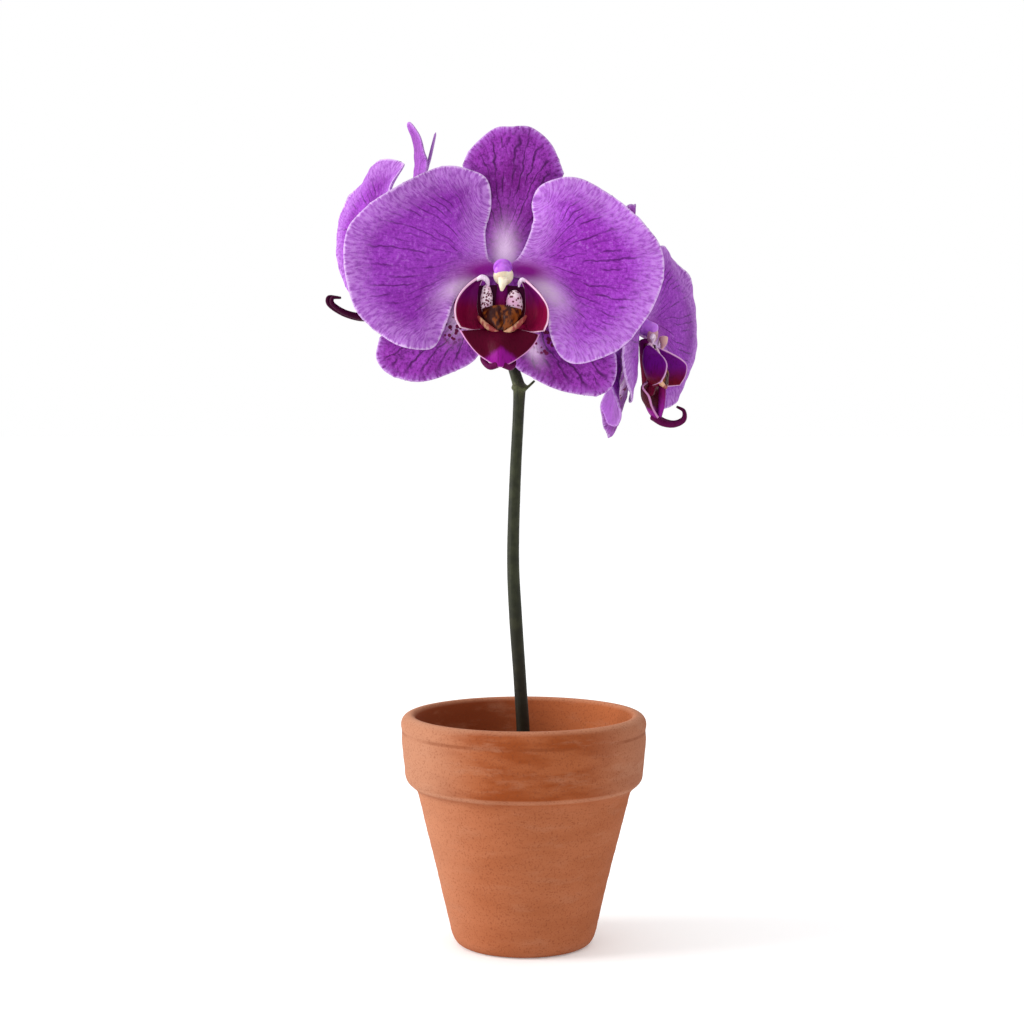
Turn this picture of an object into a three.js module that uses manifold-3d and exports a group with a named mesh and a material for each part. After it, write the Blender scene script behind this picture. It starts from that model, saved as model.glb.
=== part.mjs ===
// A moth orchid flower stem with three open blooms, standing in a small clay pot.
// Millimetres, +Z up, +X to the right of someone who faces the front bloom.
// The origin is the centre of the pot's underside, on the surface it stands on.
import * as THREE from "three";
import Module from "manifold-3d";
import { mergeVertices } from "three/addons/utils/BufferGeometryUtils.js";

const wasm = await Module();
wasm.setup();

// Pot
const POT_HEIGHT = 75.5;
const RIM_RADIUS = 40.0; // outer radius at the lip
const BAND_HEIGHT = 22.3; // the thicker band below the lip
const BAND_FOOT_RADIUS = 38.5;
const BODY_TOP_RADIUS = 34.4;
const BASE_RADIUS = 22.5;
const FLOOR_THICKNESS = 6.0;
const LIP_INNER_RADIUS = 35.7;
const FLOOR_INNER_RADIUS = 18.8;
const DRAIN_RADIUS = 3.5; // three holes round the centre of the floor
const DRAIN_CIRCLE = 12.0;
const POT_SIDES = 48;

// Potting mix
const MIX_TOP = 58.0; // mean height of its surface
const MIX_RELIEF = 1.8; // bark chips stand this much out of the surface
const CLEARANCE = 0.3; // between neighbouring pieces

// Flower stem
const STEM_FOOT = 14.0;
const STEM_FOOT_RADIUS = 2.5;
const STEM_RADIUS = 2.15;
const STEM_UPPER_RADIUS = 1.85;
const HUB_RADIUS = 3.3; // the end of a pedicel, behind the sepals
const HUB_FACE = -3.3; // forward position of its face within the bloom

// Blooms
const SEPAL_LAYER = -2.55; // forward position of each layer at the centre of the bloom
const PETAL_LAYER = -1.35;
const COLUMN_FOOT = -0.48; // back of the column, just in front of the petals
const BLADE_THICKNESS = 0.8;
const BLADE_ROWS = 10;
const BLADE_COLUMNS = 6;

// at: centre of the bloom, turn: degrees about the upright axis from facing the viewer,
// lipDrop: how far the lip hangs, as a share of the longest, tendril: how much further its
// tendrils reach and how steeply they rise, lobe: how far its left side lobe comes forward.
const BLOOMS = {
  front: { at: [-6.7, -22, 218.2], turn: 0, mirrored: false, lipDrop: 1, tendril: [1, 0], lobe: 1 },
  left: { at: [-47.0, 40, 229.8], turn: -77, mirrored: false, lipDrop: 0.8, tendril: [1.34, 0.6], lobe: 0.68 },
  right: { at: [39.9, 38, 201.3], turn: 72, mirrored: false, lipDrop: 1, tendril: [1, 0], lobe: 1 },
};

const COLOURS = {
  clay: 0xb06a46,
  mix: 0x4a3323,
  stem: 0x3f4433,
  petal: 0x9a3bb6,
  sepal: 0x8226a0,
  lip: 0x5c0a34,
  column: 0xc57be8,
  cap: 0xeadbc4,
};

// Outlines of the front bloom's blades in its own plane, right and up from its centre.
// "upper" and "lower" run from the base to the far corners, "end" joins those corners.
const OUTLINES = {
  petal_left: {
    upper: [[-0.6, 1.8], [-3.1, 1.7], [-4.7, 3.8], [-5.4, 11.6], [-3.7, 19.4], [-4.5, 26.9],
      [-8.3, 30.2], [-17.8, 32.2], [-28.6, 28.0], [-41.4, 20.3]],
    end: [[-41.4, 20.3], [-48.2, 12.7], [-49.6, 2.1], [-46.5, -12.1], [-40.8, -19.0]],
    lower: [[-0.6, -2.9], [-4.7, -2.5], [-9.1, -3.3], [-14.5, -9.0], [-17.6, -17.0],
      [-21.1, -24.2], [-25.9, -25.5], [-33.2, -23.9], [-40.8, -19.0]],
  },
  petal_right: {
    upper: [[0.6, 1.8], [4.0, 2.5], [6.9, 6.9], [9.4, 14.7], [9.0, 20.9], [12.3, 26.5],
      [22.6, 28.7], [33.7, 23.0], [42.7, 15.5]],
    end: [[42.7, 15.5], [49.0, 7.0], [50.1, -2.3], [46.5, -12.8], [40.2, -22.0]],
    lower: [[0.6, -2.9], [4.7, -3.0], [9.4, -5.1], [13.5, -11.4], [15.0, -21.7],
      [18.6, -28.2], [24.6, -29.8], [34.6, -26.4], [40.2, -22.0]],
  },
  dorsal_sepal: {
    upper: [[-2.5, 0.6], [-5.4, 4.3], [-7.6, 11.4], [-10.6, 21.4], [-12.8, 33.2]],
    end: [[-12.8, 33.2], [-10.2, 38.2], [-3.0, 44.4], [3.1, 44.9], [9.0, 44.8], [15.4, 39.6],
      [19.4, 30.6]],
    lower: [[2.5, 0.6], [6.0, 4.3], [9.8, 10.6], [15.2, 19.4], [19.4, 30.6]],
  },
  lateral_sepal_left: {
    upper: [[-2.6, 0.1], [-11.4, -3.3], [-25.0, -9.9], [-34.2, -15.8], [-39.4, -21.8]],
    end: [[-39.4, -21.8], [-40.6, -27.6], [-38.6, -31.8], [-35.2, -34.3]],
    lower: [[-0.3, -2.6], [-3.8, -17.0], [-8.6, -28.3], [-17.6, -33.4], [-26.8, -35.9],
      [-35.2, -34.3]],
  },
  lateral_sepal_right: {
    upper: [[2.6, 0.1], [12.3, -3.3], [24.4, -10.6], [32.5, -19.0], [36.2, -27.6]],
    end: [[36.2, -27.6], [36.3, -33.2], [34.4, -38.2], [30.1, -40.6]],
    lower: [[0.3, -2.6], [1.1, -15.2], [2.9, -29.4], [9.9, -34.9], [19.1, -38.9],
      [30.1, -40.6]],
  },
};

// How each blade is bent. lean: degrees forward beyond its flat base, curl: further degrees at
// the tip, roll: curvature across per millimetre, upper and lower side, wave: height of the
// margin's waves and how many run along a side, narrow and long: shares of the outline's
// width and length.
const FORMS = {
  front: {
    petal_left: { lean: 5, curl: -9, roll: [1 / 150, 1 / 120], wave: [0.8, 2.5], narrow: 1 },
    petal_right: { lean: 5, curl: -8, roll: [1 / 120, 1 / 140], wave: [0.8, 2.2], narrow: 1 },
    dorsal_sepal: { lean: -8, curl: -2, roll: [1 / 60, 1 / 60], wave: [0.4, 1.5], narrow: 1 },
    lateral_sepal_left: { lean: -8, curl: -4, roll: [1 / 90, 1 / 60], wave: [0.5, 2], narrow: 1 },
    lateral_sepal_right: { lean: -8, curl: -4, roll: [1 / 90, 1 / 60], wave: [0.5, 2], narrow: 1 },
  },
  left: {
    petal_left: { lean: 21, curl: -12, roll: [1 / 75, 1 / 40], wave: [-2.0, 2.5], narrow: 0.96 },
    petal_right: { lean: 8, curl: -18, roll: [1 / 30, 1 / 45], wave: [0.8, 2.2], narrow: 0.8 },
    dorsal_sepal: { lean: -50, curl: 82, roll: [1 / 12, 1 / 12], wave: [0.3, 1.5], narrow: 0.45, long: 0.94 },
    lateral_sepal_left: { lean: -24, curl: -14, roll: [1 / 16, 1 / 16], wave: [0.4, 2], narrow: 0.9 },
    lateral_sepal_right: { lean: -22, curl: -10, roll: [1 / 14, 1 / 14], wave: [0.4, 2], narrow: 0.9 },
  },
  right: {
    petal_right: { lean: 34, curl: -40, roll: [1 / 150, 1 / 60], wave: [-1.8, 2.86], narrow: 1 },
    petal_left: { lean: 34, curl: -45, roll: [1 / 100, 1 / 150], wave: [0.8, 2.2], narrow: 1 },
    dorsal_sepal: { lean: -11, curl: 18, roll: [1 / 12, 1 / 11], wave: [0.3, 1.5], narrow: 0.6, long: 0.93 },
    lateral_sepal_right: { lean: -19, curl: -4, roll: [1 / 12, 1 / 12], wave: [0.4, 2], narrow: 0.75, long: 1.06 },
    lateral_sepal_left: { lean: -6, curl: 27, roll: [1 / 12, 1 / 12], wave: [0.4, 2], narrow: 0.75 },
  },
};
const FLAT_BASE = 3.5; // a blade lies flat this far from its base
const BASE_TURN = 6; // and takes up its lean over this length

const vec = (x, y, z) => new THREE.Vector3(x, y, z);
// A point of a bloom from its place to the right, forward and up.
const petalSpace = (right, forward, up) => vec(right, -forward, up);
const smoothCurve = (points) =>
  new THREE.CatmullRomCurve3(points, false, "catmullrom", 0.5);

function solidOf(geometry) {
  const bare = geometry.clone();
  bare.deleteAttribute("normal");
  bare.deleteAttribute("uv");
  const merged = mergeVertices(bare, 1e-4);
  const make = (triVerts) =>
    new wasm.Manifold(
      new wasm.Mesh({
        numProp: 3,
        vertProperties: Float32Array.from(merged.attributes.position.array),
        triVerts,
      }),
    );
  const index = Uint32Array.from(merged.index.array);
  const made = make(index);
  return made.volume() > 0 ? made : make(index.reverse());
}

function geometryOf(solid) {
  const mesh = solid.getMesh();
  const geometry = new THREE.BufferGeometry();
  geometry.setAttribute("position", new THREE.BufferAttribute(mesh.vertProperties, 3));
  geometry.setIndex(new THREE.BufferAttribute(mesh.triVerts, 1));
  geometry.computeVertexNormals();
  return geometry;
}

// Pieces grown together, with any pocket that closes between them filled.
const joined = (solids) =>
  solids
    .reduce((all, one) => all.add(one))
    .decompose()
    .reduce((most, one) => (one.volume() > most.volume() ? one : most));

function piece(name, solid, colour, roughness) {
  const material = new THREE.MeshStandardMaterial({ color: colour, roughness, metalness: 0 });
  const mesh = new THREE.Mesh(geometryOf(solid), material);
  mesh.name = name;
  return mesh;
}

function indexed(points, triangles) {
  const geometry = new THREE.BufferGeometry();
  const flat = points.flatMap((p) => [p.x, p.y, p.z]);
  geometry.setAttribute("position", new THREE.Float32BufferAttribute(flat, 3));
  geometry.setIndex(triangles);
  return geometry;
}

// A thin body on both sides of a surface that pointAt(u, v) gives, split alike on both faces.
function sheet(pointAt, rows, columns, thickness) {
  const at = (i, j) => pointAt(i / rows, j / columns);
  const wide = columns + 1;
  const count = (rows + 1) * wide;
  const front = [];
  const back = [];
  for (let i = 0; i <= rows; i++)
    for (let j = 0; j <= columns; j++) {
      const along = at(Math.min(i + 1, rows), j).sub(at(Math.max(i - 1, 0), j));
      const across = at(i, Math.min(j + 1, columns)).sub(at(i, Math.max(j - 1, 0)));
      const normal = along.cross(across).normalize().multiplyScalar(thickness / 2);
      front.push(at(i, j).add(normal));
      back.push(at(i, j).sub(normal));
    }
  const triangles = [];
  for (let i = 0; i < rows; i++)
    for (let j = 0; j < columns; j++) {
      const a = i * wide + j;
      const b = a + 1;
      const c = a + wide;
      const d = c + 1;
      triangles.push(a, c, b, b, c, d);
      triangles.push(a + count, b + count, c + count, b + count, d + count, c + count);
    }
  const rim = [];
  for (let j = 0; j < columns; j++) rim.push(j);
  for (let i = 0; i < rows; i++) rim.push(i * wide + columns);
  for (let j = columns; j > 0; j--) rim.push(rows * wide + j);
  for (let i = rows; i > 0; i--) rim.push(i * wide);
  rim.forEach((a, k) => {
    const b = rim[(k + 1) % rim.length];
    triangles.push(a, b, a + count, b, b + count, a + count);
  });
  return solidOf(indexed([...front, ...back], triangles));
}

// A round body along a path, with its radius at each path point and rounded ends.
function tube(path, radii, steps, sides) {
  const curve = smoothCurve(path.map((p) => vec(...p)));
  const radiusCurve = smoothCurve(radii.map((r, i) => vec(i, r, 0)));
  const frames = curve.computeFrenetFrames(200, false);
  const rings = [];
  const ring = (t, shift, scale) => {
    const centre = curve.getPoint(t);
    const k = Math.round(curve.getUtoTmapping ? t * 200 : 0);
    const tangent = curve.getTangent(t);
    const normal = frames.normals[k].clone();
    normal.addScaledVector(tangent, -normal.dot(tangent)).normalize();
    const side = tangent.clone().cross(normal);
    const radius = radiusCurve.getPoint(t).y;
    centre.addScaledVector(tangent, shift * radius);
    const out = [];
    for (let s = 0; s < sides; s++) {
      const angle = (2 * Math.PI * s) / sides;
      out.push(
        centre
          .clone()
          .addScaledVector(normal, Math.cos(angle) * radius * scale)
          .addScaledVector(side, Math.sin(angle) * radius * scale),
      );
    }
    rings.push(out);
  };
  const startPole = curve.getPoint(0).addScaledVector(curve.getTangent(0), -0.5 * radii[0]);
  ring(0, -0.36, 0.7);
  for (let i = 0; i <= steps; i++) ring(i / steps, 0, 1);
  ring(1, 0.36, 0.7);
  const last = radii[radii.length - 1];
  const endPole = curve.getPoint(1).addScaledVector(curve.getTangent(1), 0.5 * last);
  const points = [startPole, ...rings.flat(), endPole];
  const triangles = [];
  for (let s = 0; s < sides; s++) {
    const n = (s + 1) % sides;
    triangles.push(0, 1 + s, 1 + n);
    for (let r = 0; r < rings.length - 1; r++) {
      const a = 1 + r * sides;
      const b = a + sides;
      triangles.push(a + s, b + s, a + n, a + n, b + s, b + n);
    }
    const z = 1 + (rings.length - 1) * sides;
    triangles.push(z + s, points.length - 1, z + n);
  }
  return solidOf(indexed(points, triangles));
}

function ellipsoid(centre, radii, tilt = [0, 0, 0], wide = 12, high = 8) {
  const geometry = new THREE.SphereGeometry(1, wide, high);
  geometry.scale(...radii);
  geometry.rotateX(tilt[0]).rotateY(tilt[1]).rotateZ(tilt[2]);
  geometry.translate(...centre);
  return solidOf(geometry);
}

// The pot, turned on a wheel, with three drain holes in its floor.
function makePot() {
  const bandFoot = POT_HEIGHT - BAND_HEIGHT;
  const profile = [
    [0, FLOOR_THICKNESS],
    [FLOOR_INNER_RADIUS - 2.5, FLOOR_THICKNESS],
    [FLOOR_INNER_RADIUS, FLOOR_THICKNESS + 2],
    [27.8, 42],
    [LIP_INNER_RADIUS - 1.1, POT_HEIGHT - 2.8],
    [LIP_INNER_RADIUS - 0.4, POT_HEIGHT - 0.8],
    [LIP_INNER_RADIUS + 0.5, POT_HEIGHT],
    [RIM_RADIUS - 2.4, POT_HEIGHT - 0.2],
    [RIM_RADIUS - 0.7, POT_HEIGHT - 1.2],
    [RIM_RADIUS, POT_HEIGHT - 2.6],
    [RIM_RADIUS - 0.2, POT_HEIGHT - 5],
    [RIM_RADIUS - 0.2, POT_HEIGHT - 8],
    [BAND_FOOT_RADIUS, bandFoot + 1.2],
    [BAND_FOOT_RADIUS - 1, bandFoot],
    [BODY_TOP_RADIUS + 0.4, bandFoot - 2.2],
    [BODY_TOP_RADIUS, bandFoot - 4],
    [28.9, 26.8],
    [BASE_RADIUS + 0.9, 3.2],
    [BASE_RADIUS - 0.2, 0.9],
    [BASE_RADIUS - 1.6, 0],
    [0, 0],
  ].reverse();
  const lathe = new THREE.LatheGeometry(
    profile.map(([r, z]) => new THREE.Vector2(r, z)),
    POT_SIDES,
  );
  lathe.rotateX(Math.PI / 2);
  let body = solidOf(lathe);
  for (let k = 0; k < 3; k++) {
    const hole = new THREE.CylinderGeometry(DRAIN_RADIUS, DRAIN_RADIUS, 20, 16);
    hole.rotateX(Math.PI / 2);
    const angle = Math.PI / 2 + (2 * Math.PI * k) / 3;
    hole.translate(DRAIN_CIRCLE * Math.cos(angle), DRAIN_CIRCLE * Math.sin(angle), 0);
    body = body.subtract(solidOf(hole));
  }
  return body;
}

// Height of the bark chips at a place on the surface of the mix.
function chips(x, y) {
  const coarse = Math.sin(x * 0.71 + 1.3) * Math.cos(y * 0.63 - 0.4);
  const fine = Math.sin(x * 1.27 - y * 0.9) * Math.cos(y * 1.19 + x * 0.5 + 2);
  return MIX_RELIEF * (0.55 * coarse + 0.45 * fine);
}

// The mix fills the pot to below the lip, with a plain hole for the stem.
function makeMix() {
  const low = FLOOR_THICKNESS + CLEARANCE;
  const slope = (LIP_INNER_RADIUS - 1.1 - 27.8) / (POT_HEIGHT - 2.8 - 42);
  const edge = 27.8 + slope * (MIX_TOP - 42) - 0.35;
  const side = [
    [FLOOR_INNER_RADIUS - 2.7, low],
    [FLOOR_INNER_RADIUS - 0.35, low + 1.8],
    [27.8 - 0.35, 42],
    [edge, MIX_TOP],
  ];
  const rings = side.map(([r, z]) => [r, () => z]);
  for (const share of [0.93, 0.78, 0.62, 0.46, 0.3])
    rings.push([edge * share, (x, y) => MIX_TOP + chips(x, y)]);
  const points = [vec(0, 0, low)];
  rings.forEach(([r, height]) => {
    for (let s = 0; s < POT_SIDES; s++) {
      const angle = (2 * Math.PI * s) / POT_SIDES;
      const x = r * Math.sin(angle);
      const y = r * Math.cos(angle);
      points.push(vec(x, y, height(x, y)));
    }
  });
  points.push(vec(0, 0, MIX_TOP));
  const triangles = [];
  for (let s = 0; s < POT_SIDES; s++) {
    const n = (s + 1) % POT_SIDES;
    triangles.push(0, 1 + s, 1 + n);
    for (let r = 0; r < rings.length - 1; r++) {
      const a = 1 + r * POT_SIDES;
      const b = a + POT_SIDES;
      triangles.push(a + s, b + s, a + n, a + n, b + s, b + n);
    }
    const z = 1 + (rings.length - 1) * POT_SIDES;
    triangles.push(z + s, points.length - 1, z + n);
  }
  const body = solidOf(indexed(points, triangles));
  const hole = new THREE.CylinderGeometry(
    STEM_FOOT_RADIUS + CLEARANCE,
    STEM_FOOT_RADIUS + CLEARANCE,
    80,
    16,
  );
  hole.rotateX(Math.PI / 2).translate(0, 0, STEM_FOOT - CLEARANCE - 1.3 + 40);
  return body.subtract(solidOf(hole));
}

// Where the pedicel of a bloom ends, in the frame of the whole plant.
function bloomPoint(name, right, forward, up) {
  const { at, turn } = BLOOMS[name];
  return petalSpace(right, forward, up)
    .applyAxisAngle(vec(0, 0, 1), THREE.MathUtils.degToRad(turn))
    .add(vec(...at))
    .toArray();
}

// The stem, its node with a small bract, and the three pedicels, grown as one piece.
function makeStem() {
  const main = tube(
    [[0, 0, STEM_FOOT], [0, 0, 40], [0.1, 0, 62], [-1.2, 0, 84.9], [-2.7, 0, 107], [-3.5, 0, 126],
      [-2.9, 0, 149.9], [-1.8, 0, 172.4], [-1.4, 0.2, 181.9]],
    [STEM_FOOT_RADIUS, 2.4, 2.25, 2.1, STEM_RADIUS, 2.0, 1.9, 1.85, 2.1],
    20,
    10,
  );
  const rachis = tube(
    [[-1.4, 0.2, 180.9], [-3.1, 1.2, 186.4], [-5.7, 5, 194.5], [-7.7, 10, 204.7], [-10.2, 15, 216.8]],
    [2.0, STEM_UPPER_RADIUS, 1.7, 1.6, 1.5],
    7,
    8,
  );
  const node = ellipsoid([-1.4, 0.1, 181.0], [2.75, 2.6, 1.5], [0, 0.1, 0], 10, 6);
  const bract = sheet(
    (u, v) => {
      const half = 1.9 * (1 - u) ** 0.7 + 0.25;
      const a = (v - 0.5) * 2 * half;
      return vec(0.4 + 2.2 * u + 0.9 * u * u, -0.6 + a, 180.7 + 1.2 * u + 1.4 * u * u - a * a * 0.12);
    },
    4,
    4,
    0.8,
  );
  const pedicel = (name, path, radii) =>
    tube(
      [...path, bloomPoint(name, 0, -10, -0.6), bloomPoint(name, 0, HUB_FACE - 0.5 * HUB_RADIUS, 0)],
      [...radii, 1.9, HUB_RADIUS],
      9,
      8,
    );
  const front = pedicel(
    "front",
    [[-2.9, 1.4, 186.4], [-4.7, -0.5, 199.3], [-6.5, -6, 212.4]],
    [1.6, 1.45, 1.4],
  );
  const right = pedicel(
    "right",
    [[-4.3, 3, 190.4], [4, 15, 197.5], [18, 27, 201.5]],
    [1.5, 1.4, 1.4],
  );
  const left = pedicel(
    "left",
    [[-9.9, 14.6, 215.8], [-15, 22, 226], [-26, 31, 230.2]],
    [1.45, 1.4, 1.4],
  );
  return joined([main, rachis, node, bract, front, right, left]);
}

// A blade of a bloom from its outline and the way it is bent.
function makeBlade(outline, form, layer, mirrored) {
  const flip = mirrored ? -1 : 1;
  const curveOf = (list) => smoothCurve(list.map(([x, z]) => vec(flip * x, 0, z)));
  const upper = curveOf(outline.upper);
  const lower = curveOf(outline.lower);
  const end = curveOf(outline.end);
  const cornerA = upper.getPoint(0);
  const cornerB = lower.getPoint(0);
  const cornerC = end.getPoint(0);
  const cornerD = end.getPoint(1);
  const root = cornerA.clone().lerp(cornerB, 0.5);
  const axis = end.getPointAt(0.5).sub(root);
  const length = axis.length();
  axis.normalize();
  const across = vec(-axis.z, 0, axis.x);
  if (across.dot(cornerC.clone().sub(cornerD)) < 0) across.negate();
  const angleAt = (s) => {
    const past = Math.max(s - FLAT_BASE, 0);
    const turned = THREE.MathUtils.smoothstep(past, 0, BASE_TURN);
    const degrees = form.lean * turned + (form.curl * past) / (length - FLAT_BASE);
    return THREE.MathUtils.degToRad(degrees);
  };
  // Distance along the axis and forward after following the bend for a length s.
  const followed = (s) => {
    const steps = 24;
    const step = s / steps;
    let reach = 0;
    let rise = 0;
    for (let k = 0; k < steps; k++) {
      const angle = angleAt((k + 0.5) * step);
      reach += Math.cos(angle) * step;
      rise += Math.sin(angle) * step;
    }
    return [reach, rise];
  };
  const flat = (u, v) => {
    const sides = upper.getPointAt(u).lerp(lower.getPointAt(u), v);
    const ends = cornerA.clone().lerp(cornerB, v).lerp(end.getPointAt(v), u);
    const corners = cornerA
      .clone()
      .lerp(cornerB, v)
      .lerp(cornerC.clone().lerp(cornerD, v), u);
    return sides.add(ends).sub(corners);
  };
  return sheet(
    (u, v) => {
      const q = flat(u, v).sub(root);
      const s = q.dot(axis) * (form.long ?? 1);
      const c = q.dot(across) * (1 - (1 - form.narrow) * Math.min(Math.max(s / 8, 0), 1));
      const angle = angleAt(s);
      const [reach, rise] = followed(s);
      const roll = form.roll[c > 0 ? 0 : 1];
      const margin = Math.abs(2 * v - 1) ** 3 * Math.sin(Math.PI * Math.min(u, 0.7));
      const wave =
        form.wave[0] * margin * Math.sin(2 * Math.PI * form.wave[1] * u + (v > 0.5 ? 2 : 0.4));
      const height = wave - (1 - Math.cos(roll * c)) / roll;
      const side = Math.sin(roll * c) / roll;
      return root
        .clone()
        .addScaledVector(axis, reach - Math.sin(angle) * height)
        .addScaledVector(across, side)
        .add(vec(0, -(layer + rise + Math.cos(angle) * height), 0));
    },
    BLADE_ROWS,
    BLADE_COLUMNS,
    BLADE_THICKNESS,
  );
}

// A narrow split-off strip of the left bloom's dorsal sepal.
function makeProng() {
  return loft(
    [
      [[-1.2, -5.3, 10.4], [1.2, -5.3, 10.4]],
      [[-1.6, -8.2, 14.5], [1.6, -8.3, 14.5]],
      [[-1.5, -12.4, 20], [1.5, -12.6, 20]],
      [[-1.2, -14.9, 27], [1.2, -15.1, 27]],
      [[-0.9, -16.2, 32], [0.9, -16.4, 32]],
      [[-0.2, -17.6, 37.6], [0.2, -17.7, 37.6]],
    ],
    7,
    2,
    0.9,
  );
}

// A surface through rows of points given as right, forward and up within the bloom.
function loft(rows, steps, columns, thickness) {
  const rowCurves = rows.map((row) => smoothCurve(row.map((p) => petalSpace(...p))));
  return sheet(
    (u, v) => smoothCurve(rowCurves.map((curve) => curve.getPoint(v))).getPoint(u),
    steps,
    columns,
    thickness,
  );
}

// The lip: two upright side lobes, ridges and a callus between them, the pointed middle lobe
// and its two curled tendrils, grown as one piece.
function makeLip(hanging, mirrored, drop, [reach, rise], lobeReach) {
  const flip = mirrored ? -1 : 1;
  const lowered = (z) => Math.max(z, -4.5) + drop * Math.min(z + 4.5, 0);
  const turned = (list) => list.map(([x, n, z]) => [flip * x, n, lowered(z)]);
  const place = (list) => list.map(([x, n, z]) => petalSpace(flip * x, n, lowered(z)).toArray());
  const sunk = ([x, n, z]) => [x, n, hanging ? z : z - 3.5 * THREE.MathUtils.clamp((z + 14) / 10, 0, 1)];
  const closer = ([x, n, z], share) => [x, 2 + (n - 2) * share, z];
  const lobe = (rows, share) =>
    loft(rows.map((row) => turned(row.map((p) => closer(sunk(p), share)))), 6, 3, 0.9);
  const leftLobe = lobe([
    [[-4.4, 5.4, -19.0], [-9.0, 6.6, -19.6], [-13.2, 10.4, -18.7]],
    [[-6.6, 4.0, -16.6], [-11.2, 5.6, -16.8], [-14.4, 12.2, -16.0]],
    [[-7.8, 3.2, -12.8], [-12.0, 5.2, -12.9], [-14.5, 12.8, -12.2]],
    [[-7.6, 2.9, -8.6], [-11.0, 4.6, -8.6], [-13.2, 11.4, -8.6]],
    [[-7.0, 3.0, -5.6], [-9.2, 4.0, -5.4], [-10.6, 8.6, -5.5]],
    [[-6.1, 3.4, -3.4], [-6.6, 3.9, -3.0], [-7.0, 5.0, -2.7]],
  ], lobeReach);
  const rightLobe = lobe([
    [[3.6, 5.4, -19.2], [8.4, 6.6, -20.2], [12.8, 10.4, -19.8]],
    [[5.6, 4.0, -17.0], [10.2, 5.6, -17.4], [13.9, 12.2, -16.8]],
    [[6.8, 3.2, -13.2], [11.2, 5.2, -13.2], [13.8, 12.8, -12.6]],
    [[6.8, 2.9, -9.0], [10.0, 4.6, -9.0], [11.8, 11.4, -9.0]],
    [[6.4, 3.0, -6.2], [8.2, 4.0, -6.0], [9.2, 8.6, -6.1]],
    [[5.7, 3.4, -4.0], [6.1, 3.9, -3.7], [6.4, 5.0, -3.4]],
  ], 1);
  const tip = hanging ? [-0.8, 14.0, -30.9] : [-0.4, 7.0, -31.2];
  const middle = loft(
    (hanging
      ? [
          [[-13.2, 8.6, -19.6], [-6.6, 6.4, -19.2], [-0.6, 5.2, -18.2], [5.6, 6.4, -19.4], [11.4, 8.6, -20.8]],
          [[-11.2, 9.6, -22.8], [-5.8, 9.0, -22.2], [-0.6, 9.6, -20.8], [5.2, 9.0, -22.4], [10.0, 9.6, -23.4]],
          [[-8.0, 10.6, -26.6], [-4.4, 10.8, -25.6], [-0.7, 12.4, -24.2], [3.9, 10.8, -25.4], [8.0, 10.6, -25.8]],
          [[-4.4, 12.0, -29.2], [-2.8, 12.3, -28.6], [-0.8, 13.8, -27.6], [2.0, 12.3, -28.4], [3.9, 12.0, -28.8]],
          [[-1.5, 13.4, -30.9], [-1.2, 13.5, -30.9], [-0.8, 13.7, -30.9], [-0.3, 13.5, -30.9], [0.1, 13.4, -30.9]],
        ]
      : [
          [[-10.5, 3.4, -20.2], [-5.5, 1.9, -22.6], [-0.4, 1.2, -23.4], [5.0, 1.9, -22.8], [9.8, 3.4, -20.8]],
          [[-8.4, 5.0, -23.2], [-4.6, 3.4, -25.8], [-0.4, 2.8, -26.8], [4.2, 3.4, -26.0], [8.0, 5.0, -23.6]],
          [[-5.8, 5.4, -26.6], [-3.2, 4.2, -28.4], [-0.4, 3.8, -29.2], [2.8, 4.2, -28.6], [5.2, 5.4, -27.0]],
          [[-3.0, 6.2, -29.4], [-1.8, 5.6, -30.2], [-0.4, 5.2, -30.6], [1.2, 5.6, -30.4], [2.4, 6.2, -29.6]],
          [[-1.1, 7.0, -31.2], [-0.8, 7.0, -31.3], [-0.4, 7.0, -31.4], [0.0, 7.0, -31.3], [0.4, 7.0, -31.2]],
        ]
    ).map(turned),
    6,
    6,
    1.3,
  );
  const claw = tube(
    place([
      [-0.2, 1.4, -4.85], [-0.3, 2.0, -11], [-0.4, 3.2, -16],
      hanging ? [-0.4, 5.6, -19.2] : [-0.4, 2.8, -22.4],
    ]),
    [2.0, 2.3, 2.9, hanging ? 2.6 : 2.1],
    5,
    8,
  );
  const saddle = ellipsoid(place([[-0.4, 5.2, -18.2]])[0], [7.8, 2.6, 2.2], [0, 0, 0], 10, 5);
  const callus = [
    ellipsoid(place([[-2.4, 6.9, -15.4]])[0], [2.0, 2.4, 3.2], [0, 0, 0], 7, 5),
    ellipsoid(place([[1.3, 6.9, -15.6]])[0], [1.9, 2.4, 3.1], [0, 0, 0], 7, 5),
  ];
  const arm = (points) => tube(place(points), [1.3, 1.2, 0.9], 3, 6);
  const arms = [
    arm([[-0.9, 8.4, -19.2], [-4.2, 7.2, -18.0], [-7.2, 6.0, -16.4]]),
    arm([[0.1, 8.4, -19.4], [3.6, 7.2, -18.2], [6.6, 6.0, -16.6]]),
  ];
  const ears = [
    ellipsoid(place([[-5.0, 4.2, -10.0]])[0], [1.7, 1.7, 4.6], [0, 0, 0], 7, 5),
    ellipsoid(place([[3.4, 4.2, -11.2]])[0], [2.4, 1.7, 3.8], [0, 0, 0], 7, 5),
  ];
  const web = tube(place([[-5.4, 3.4, -14.0], [-0.4, 2.6, -14.2], [4.6, 3.4, -14.4]]), [1.8, 2.2, 1.8], 4, 6);
  const keel = tube(
    place([[-0.6, 7.6, -19.8], [-0.7, (tip[1] + 8) / 2, (tip[2] - 20.2) / 2], [tip[0], tip[1] - 0.4, tip[2] + 0.6]]),
    [1.3, 1.2, 0.8],
    4,
    6,
  );
  const tendrils = hanging
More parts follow.
